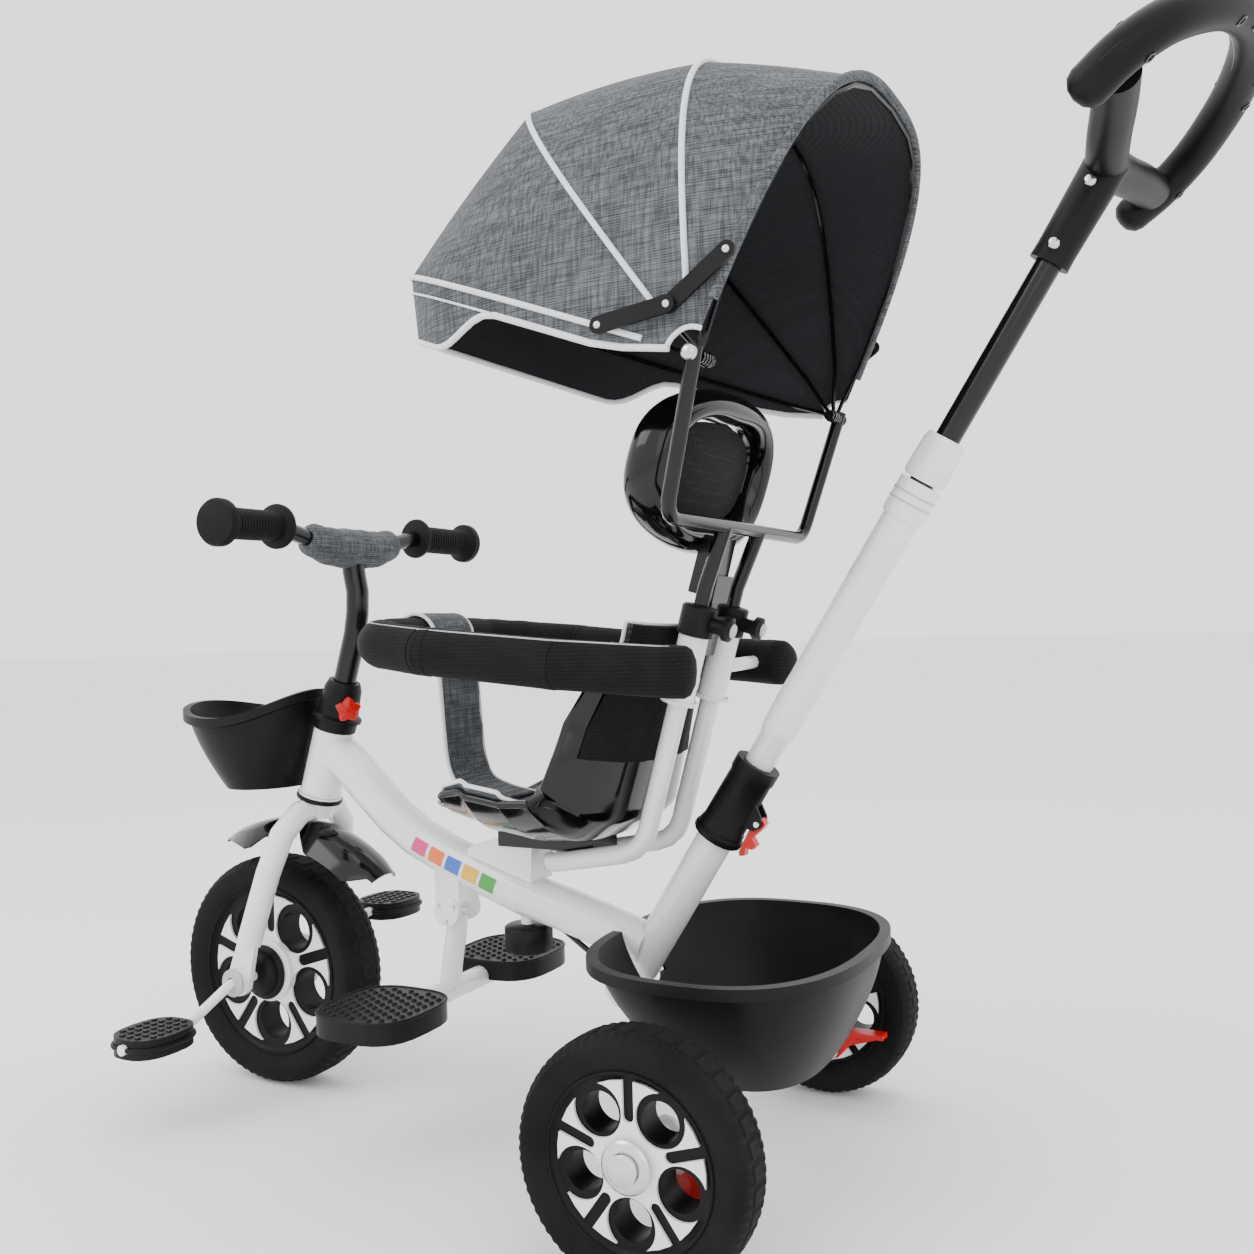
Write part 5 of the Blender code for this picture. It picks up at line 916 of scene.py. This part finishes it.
NU, NV = 60, 44
bm = bmesh.new()
top, low = [], []
for i in range(NU + 1):
    u = 0.10 + 0.94 * i / NU
    rt, rl = [], []
    for j in range(NV + 1):
        vm = 1.035 - 0.135 * min(1.0, max(0.0, (u - 0.40) / 0.14))
        v = vm * (-1 + 2 * j / NV)
        edge = min(edge_round(i / NU, 0.05), edge_round(1 - i / NU, 0.05), edge_round(j / NV, 0.07), edge_round(1 - j / NV, 0.07))
        seam = 0.0016 * (math.exp(-((abs(v) - 0.52) / 0.03) ** 2) + math.exp(-((u - 0.60) / 0.012) ** 2))
        puff = 0.0012 * math.sin(9 * u + 1.3) * math.sin(5 * v)
        rt.append(bm.verts.new(seat_section(u, v, 0.0024 + 0.0108 * edge - seam * edge + puff * edge)))
        rl.append(bm.verts.new(seat_section(u, v, 0.0010)))
    top.append(rt)
    low.append(rl)
for i in range(NU):
    for j in range(NV):
        bm.faces.new((top[i][j], top[i][j + 1], top[i + 1][j + 1], top[i + 1][j]))
        bm.faces.new((low[i][j], low[i + 1][j], low[i + 1][j + 1], low[i][j + 1]))
    bm.faces.new((top[i][0], top[i + 1][0], low[i + 1][0], low[i][0]))
    bm.faces.new((top[i][NV], low[i][NV], low[i + 1][NV], top[i + 1][NV]))
for j in range(NV):
    bm.faces.new((top[0][j], low[0][j], low[0][j + 1], top[0][j + 1]))
    bm.faces.new((top[NU][j], top[NU][j + 1], low[NU][j + 1], low[NU][j]))
pad = make("seat_pad", bm, M_FAB, "frame", ["seat_cover"], 80)
def pad_edge(u):
    return 1.042 - 0.135 * min(1.0, max(0.0, (u - 0.40) / 0.14))


ue = [0.10 + 0.94 * i / 60 for i in range(61)]
rim = [seat_section(u, -pad_edge(u), 0.0034) for u in ue] + [seat_section(1.04, -0.9 + 1.8 * j / 30, 0.0036) for j in range(1, 30)]
rim += [seat_section(u, pad_edge(u), 0.0034) for u in reversed(ue)] + [seat_section(0.10, 1.03 - 2.06 * j / 40, 0.0036) for j in range(1, 40)]
make("seat_piping", sweep(rim, 0.0021, 8, hint=X), M_PIP, "frame")
back = open_grid([[seat_section(0.80 + 0.24 * i / 10, -0.9 + 1.8 * j / 24, -0.0080 + 0.0008 * math.sin(j * 2.1 + i)) for j in range(25)] for i in range(11)])
make("seat_back_cloth", back, M_MSH, "frame")
for v in (-0.52, 0.52):
    make("seat_stitch_%d" % (v > 0), sweep([seat_section(0.14 + 0.86 * i / 50, v, 0.0116) for i in range(51)], 0.0007, 6, hint=X), M_THR, "frame")

# ---------------------------------------------------------------- guard ring
for side, sx in (("left", 1), ("right", -1)):
    pad_pts = [Vector((sx * 0.1130, 0.0, 0.4632)), Vector((sx * 0.1180, -0.0150, 0.4640))]
    pad_pts += rounded([Vector((sx * 0.1200, -0.0300, 0.4650)), Vector((sx * 0.1320, -0.1200, 0.4720)), Vector((sx * 0.1380, -0.2500, 0.4850)),
                        Vector((sx * 0.1150, -0.3440, 0.4945)), Vector((sx * 0.0006, -0.3450, 0.4970))], 0.060, 8)
    dense = catmull(pad_pts, 5)
    g = make(side + "_guard_cover", sweep(dense, lambda s: GUARD_R * (1 + 0.012 * math.sin(60 * s)), 32, hint=Z, ends=0.010), M_MSH, side + "_guard", [side + "_guard_pad"], 60)
    line = [p + Z * (GUARD_R * 0.93) + (p - Vector((0, -0.18, p.z))).normalized() * (GUARD_R * 0.40) for p in dense[6:-2]]
    make(side + "_guard_stitch", sweep(line, 0.0008, 6, hint=Z), M_THR, side + "_guard")

strap = [Vector((0, -0.2450, 0.3340)), Vector((0, -0.2750, 0.3400)), Vector((0, -0.2980, 0.3500)), Vector((0, -0.3080, 0.3720)), Vector((0, -0.3120, 0.4100)), Vector((0, -0.3160, 0.4650))]
topg = Vector((0, -0.3450, 0.4970))
for k in range(7):
    a = math.radians(-5 + 190 * k / 6)
    strap.append(topg + Vector((0, math.cos(a), math.sin(a))) * (GUARD_R + 0.0028))
strap += [Vector((0, -0.3660, 0.4760)), Vector((0, -0.3600, 0.4620))]
sp = catmull(strap, 6)
for nm, off in (("", 0.0),):
    rows = [[p + X * (0.0330 * (-1 + 2 * j / 12)) + Y * (0.0006 * math.sin(p.z * 160 + j)) for j in range(13)] for p in sp]
    so = make("crotch_strap_cloth", open_grid(rows), M_FAB, "frame", ["crotch_strap"], 70)
    md = so.modifiers.new("thickness", "SOLIDIFY")
    md.thickness = 0.0026
    md.offset = 0.0
for sx in (1, -1):
    make("strap_binding_%d" % (sx > 0), sweep([p + X * (sx * 0.0330) for p in sp], 0.0021, 8, hint=X), M_PIP, "frame")

# ---------------------------------------------------------------- handlebar cover and grips
cov = catmull([(-0.0640, -0.4560, 0.6050), (-0.0350, -0.4550, 0.5985), (0, -0.4545, 0.5975), (0.0350, -0.4550, 0.5985), (0.0640, -0.4560, 0.6050)], 14)
hc = make("bar_cover_cloth", sweep(cov, lambda s: 0.0168 + 0.0050 * math.sin(math.pi * s) + 0.0004 * math.sin(34 * s), 36, hint=Y, ends=0.006), M_FAB, "steering", ["handlebar_cover"], 60)
for side, sx in (("left", 1), ("right", -1)):
    a, b = Vector((sx * 0.1100, -0.4550, 0.6150)), Vector((sx * 0.2010, -0.4465, 0.6130))
    d = (b - a).normalized()
    prof = [(0, 0.0965), (0.0120, 0.0962), (0.0215, 0.0945), (0.0234, 0.0915), (0.0232, 0.0850), (0.0200, 0.0832), (0.0165, 0.0815)]
    k = 0.0800
    while k > 0.0140:
        prof += [(0.0156, k), (0.0156, k - 0.0018), (0.0145, k - 0.0024), (0.0145, k - 0.0036)]
        k -= 0.0042
    prof += [(0.0160, 0.0085), (0.0225, 0.0060), (0.0232, 0.0040), (0.0228, 0.0012), (0.0200, 0.0), (0.0094, 0.0), (0, 0.0)]
    make(side + "_grip_rubber", lathe(prof, a, d, 48), M_GRP, "steering", [side + "_grip"], 40)

# ---------------------------------------------------------------- headrest insert
w = HR_U.cross(HR_V).normalized()
outline = superellipse(0.0940, 0.0460, 2.5, 64)
rows = []
for q in range(13):
    sc = 1.0 - q / 12.0
    rows.append([HR_MID + HR_U * (a * sc) + HR_V * (b * sc) + w * (0.0012 + 0.0080 * (abs(a * sc) / 0.110) ** 2 - 0.0050 * (1 - sc * sc)) for a, b in outline] if sc > 0 else [HR_MID - w * 0.0038])
hm = make("headrest_net", loft(rows, caps=False), M_NET, "headrest", ["headrest_mesh"], 60)
ring_path = [HR_MID + HR_U * (a * 1.04) + HR_V * (b * 1.06) + w * (0.0130 + 0.0080 * (abs(a) / 0.110) ** 2) for a, b in outline]
make("headrest_lip", sweep(ring_path + [ring_path[0]], 0.0024, 8, hint=w), M_GLS, "headrest")

# ---------------------------------------------------------------- pedals and foot plates
for side, sx, at in (("left", 1, LEFT_PEDAL), ("right", -1, RIGHT_PEDAL)):
    bits = []
    for k in range(-3, 4):
        for yk in range(-2, 3):
            ux, uy = k * 0.0098, yk * 0.0112
            if (abs(ux) / 0.036) ** 2.6 + (abs(uy) / 0.030) ** 2.6 < 0.9:
                for s2 in (1, -1):
                    bits.append(lathe([(0, 0.0100), (0.0036, 0.0100), (0.0030, 0.0114), (0, 0.0116)], at + Vector((ux, uy, 0)), Z * s2, 4, phase=0.5))
    make(side + "_pedal_tread", together(*bits), M_BLK, side + "_pedal", (), 30)
    band = [at + Vector((p[0], p[1], 0)) for p in superellipse(0.0384, 0.0334, 2.6, 48)]
    make(side + "_pedal_rim", sweep(band + [band[0]], 0.0026, 8, hint=Z), M_BLK, side + "_pedal", ())
    studs = []
    for i in range(-4, 5):
        for j in range(-4, 5):
            ux, uy = i * 0.0112 + (0.0056 if j % 2 else 0), j * 0.0106
            if (abs(ux) / 0.050) ** 3 + (abs(uy) / 0.048) ** 3 < 1.0:
                studs.append(lathe([(0, 0.1429), (0.0030, 0.1429), (0.0026, 0.1444), (0.0012, 0.1451), (0, 0.1452)], Vector((sx * 0.1120 + ux, -0.3350 + uy, 0)), Z, 10))
    make(side + "_foot_studs", together(*studs), M_BLK, "footrest", (), 60)
    lip = [Vector((sx * 0.1120 + p[0], -0.3350 + p[1], 0.1425)) for p in superellipse(0.0562, 0.0542, 3.0, 56)]
    make(side + "_foot_lip", sweep(lip + [lip[0]], 0.0018, 8, hint=Z), M_BLK, "footrest", ())
    make(side + "_foot_pivot_disc", lathe([(0, 0.0180), (0.0158, 0.0180), (0.0155, 0.0200), (0.0060, 0.0208), (0, 0.0208)], FOOT_PIVOT, X * sx, 40), M_PAINT, "frame")
    riv = together(*[lathe([(0, 0.0204), (0.0026, 0.0204), (0.0020, 0.0216), (0, 0.0219)], FOOT_PIVOT + Y * (0.0105 * math.cos(q)) + Z * (0.0105 * math.sin(q)), X * sx, 14) for q in (0.5, 2.6, 4.7)])
    make(side + "_foot_pivot_rivets", riv, M_SIL, "frame")

# ---------------------------------------------------------------- frame tube decoration: plain colour squares
SP = catmull(SPINE, 8)
cum = [0.0]
for a, b in zip(SP[:-1], SP[1:]):
    cum.append(cum[-1] + (b - a).length)


def tube_patch(s0, s1, a0, a1, r):
    rows = []
    for i in range(9):
        s = s0 + (s1 - s0) * i / 8
        k = max(0, min(len(SP) - 2, int(np.searchsorted(cum, s) - 1)))
        f = (s - cum[k]) / max(1e-9, cum[k + 1] - cum[k])
        p = SP[k].lerp(SP[k + 1], f)
        tdir = (SP[k + 1] - SP[k]).normalized()
        nrm = X.cross(tdir).normalized()
        if nrm.z < 0:
            nrm = -nrm
        rows.append([p + X * (r * math.cos(math.radians(q))) + nrm * (r * math.sin(math.radians(q))) for q in [a0 + (a1 - a0) * j / 8 for j in range(9)]])
    return open_grid(rows)


COLOURS = [(0.62, 0.015, 0.16), (0.75, 0.13, 0.004), (0.008, 0.10, 0.55), (0.75, 0.42, 0.004), (0.02, 0.30, 0.02)]
for k, cc in enumerate(COLOURS):
    m = surface("sticker %d" % k, cc, 0.3, coat=0.4, var=0.03, bump=0.05, painted_edge_highlight=0)
    for nm, (a0, a1) in (("left", (-16, 24)), ("right", (156, 196))):
        s0 = 0.150 + 0.0225 * k
        make(f"square_{nm}_{k}", tube_patch(s0, s0 + 0.0180, a0, a1, TUBE_R + 0.0005), m, "frame")

# ---------------------------------------------------------------- small hardware
for sx in (1, -1):
    s = "left" if sx > 0 else "right"
    for k, t in enumerate((0.782, 0.835)):
        make(f"{s}_bracket_bolt_{k}", lathe([(0, 0.0150), (0.0046, 0.0150), (0.0046, 0.0196), (0.0034, 0.0206), (0, 0.0206)], push(t), X * sx, 20), M_SIL, "push_handle")
    make(s + "_collar_rivet", lathe([(0, 0.0085), (0.0030, 0.0085), (0.0026, 0.0102), (0, 0.0106)], push(0.2320, 0.0, 0.0290), X * sx, 18), M_SIL, "frame")
    kn = lathe([(0, 0.0358), (0.0066, 0.0358), (0.0060, 0.0372), (0, 0.0376)], post_at(sx, 0.0130), REARWARD, 24)
    make(s + "_clamp_knob_centre", kn, M_GRY, "frame")
    make(s + "_guard_sleeve_lip", lathe([(0.0142, -0.0640), (0.0172, -0.0640), (0.0176, -0.0622), (0.0172, -0.0606), (0.0142, -0.0606)], post_at(sx, 0), POST_DIR, 32, hint=X), M_PAINT, s + "_guard")
for t in (0.5480, 0.5560):
    make("lock_groove_%d" % (t > 0.55), lathe([(0.0188, t), (0.0196, t), (0.0196, t + 0.0012), (0.0188, t + 0.0012)], PUSH_FOOT, PUSH_DIR, 40, hint=X), M_GRY, "push_lock")
make("weld_bead", sweep([steer(0.2120) + X * (0.0222 * math.cos(q)) + X.cross(STEER_DIR).normalized() * (0.0222 * math.sin(q)) for q in [2 * math.pi * i / 40 for i in range(41)]], 0.0012, 6, hint=STEER_DIR), M_PAINT, "frame")
make("fork_ring", lathe([(0.0190, 0.2030), (0.0250, 0.2030), (0.0256, 0.2050), (0.0250, 0.2080), (0.0190, 0.2080)], FRONT_AXLE, STEER_DIR, 48, hint=X), M_BLK, "steering")

# ---------------------------------------------------------------- studio
floor = bpy.data.meshes.new("floor")
floor.from_pydata([(-40, -40, 0), (40, -40, 0), (40, 40, 0), (-40, 40, 0)], [], [(0, 1, 2, 3)])
fo = bpy.data.objects.new("floor", floor)
floor.materials.append(surface("pale floor", (0.90, 0.90, 0.90), 0.75, var=0.004, vscale=3, bump=0.02, bscale=60, painted_edge_highlight=0, spec=0.1))
bpy.context.scene.collection.objects.link(fo)
world = bpy.data.worlds.new("studio")
bpy.context.scene.world = world
world.use_nodes = True
world.node_tree.nodes["Background"].inputs["Color"].default_value = (1, 1, 1, 1)
world.node_tree.nodes["Background"].inputs["Strength"].default_value = 1.9
for nm, loc, size, power in (("key", (1.6, -1.4, 2.3), 1.6, 30), ("fill", (2.2, 1.6, 1.3), 1.8, 10), ("top", (-0.4, 0.2, 2.6), 2.0, 16)):
    li = bpy.data.lights.new(nm, "AREA")
    li.energy, li.size, li.shape = power, size, "SQUARE"
    lo = bpy.data.objects.new(nm, li)
    lo.location = loc
    lo.rotation_mode = "QUATERNION"
    lo.rotation_quaternion = (Vector((0, 0, 0.45)) - Vector(loc)).to_track_quat("-Z", "Y")
    bpy.context.scene.collection.objects.link(lo)
cam = bpy.data.cameras.new("camera")
cam.lens, cam.sensor_width = 34.55, 36
co = bpy.data.objects.new("camera", cam)
F, R, U = Vector((-0.8826, -0.4702, 0.0032)), Vector((-0.4701, 0.8822, -0.0267)), Vector((-0.0098, 0.0251, 0.9996))
C = Vector((1.0276, 0.4329 + Y_SHIFT, 0.4993))
co.matrix_world = Matrix(((R.x, U.x, -F.x, C.x), (R.y, U.y, -F.y, C.y), (R.z, U.z, -F.z, C.z), (0, 0, 0, 1)))
bpy.context.scene.collection.objects.link(co)
bpy.context.scene.camera = co
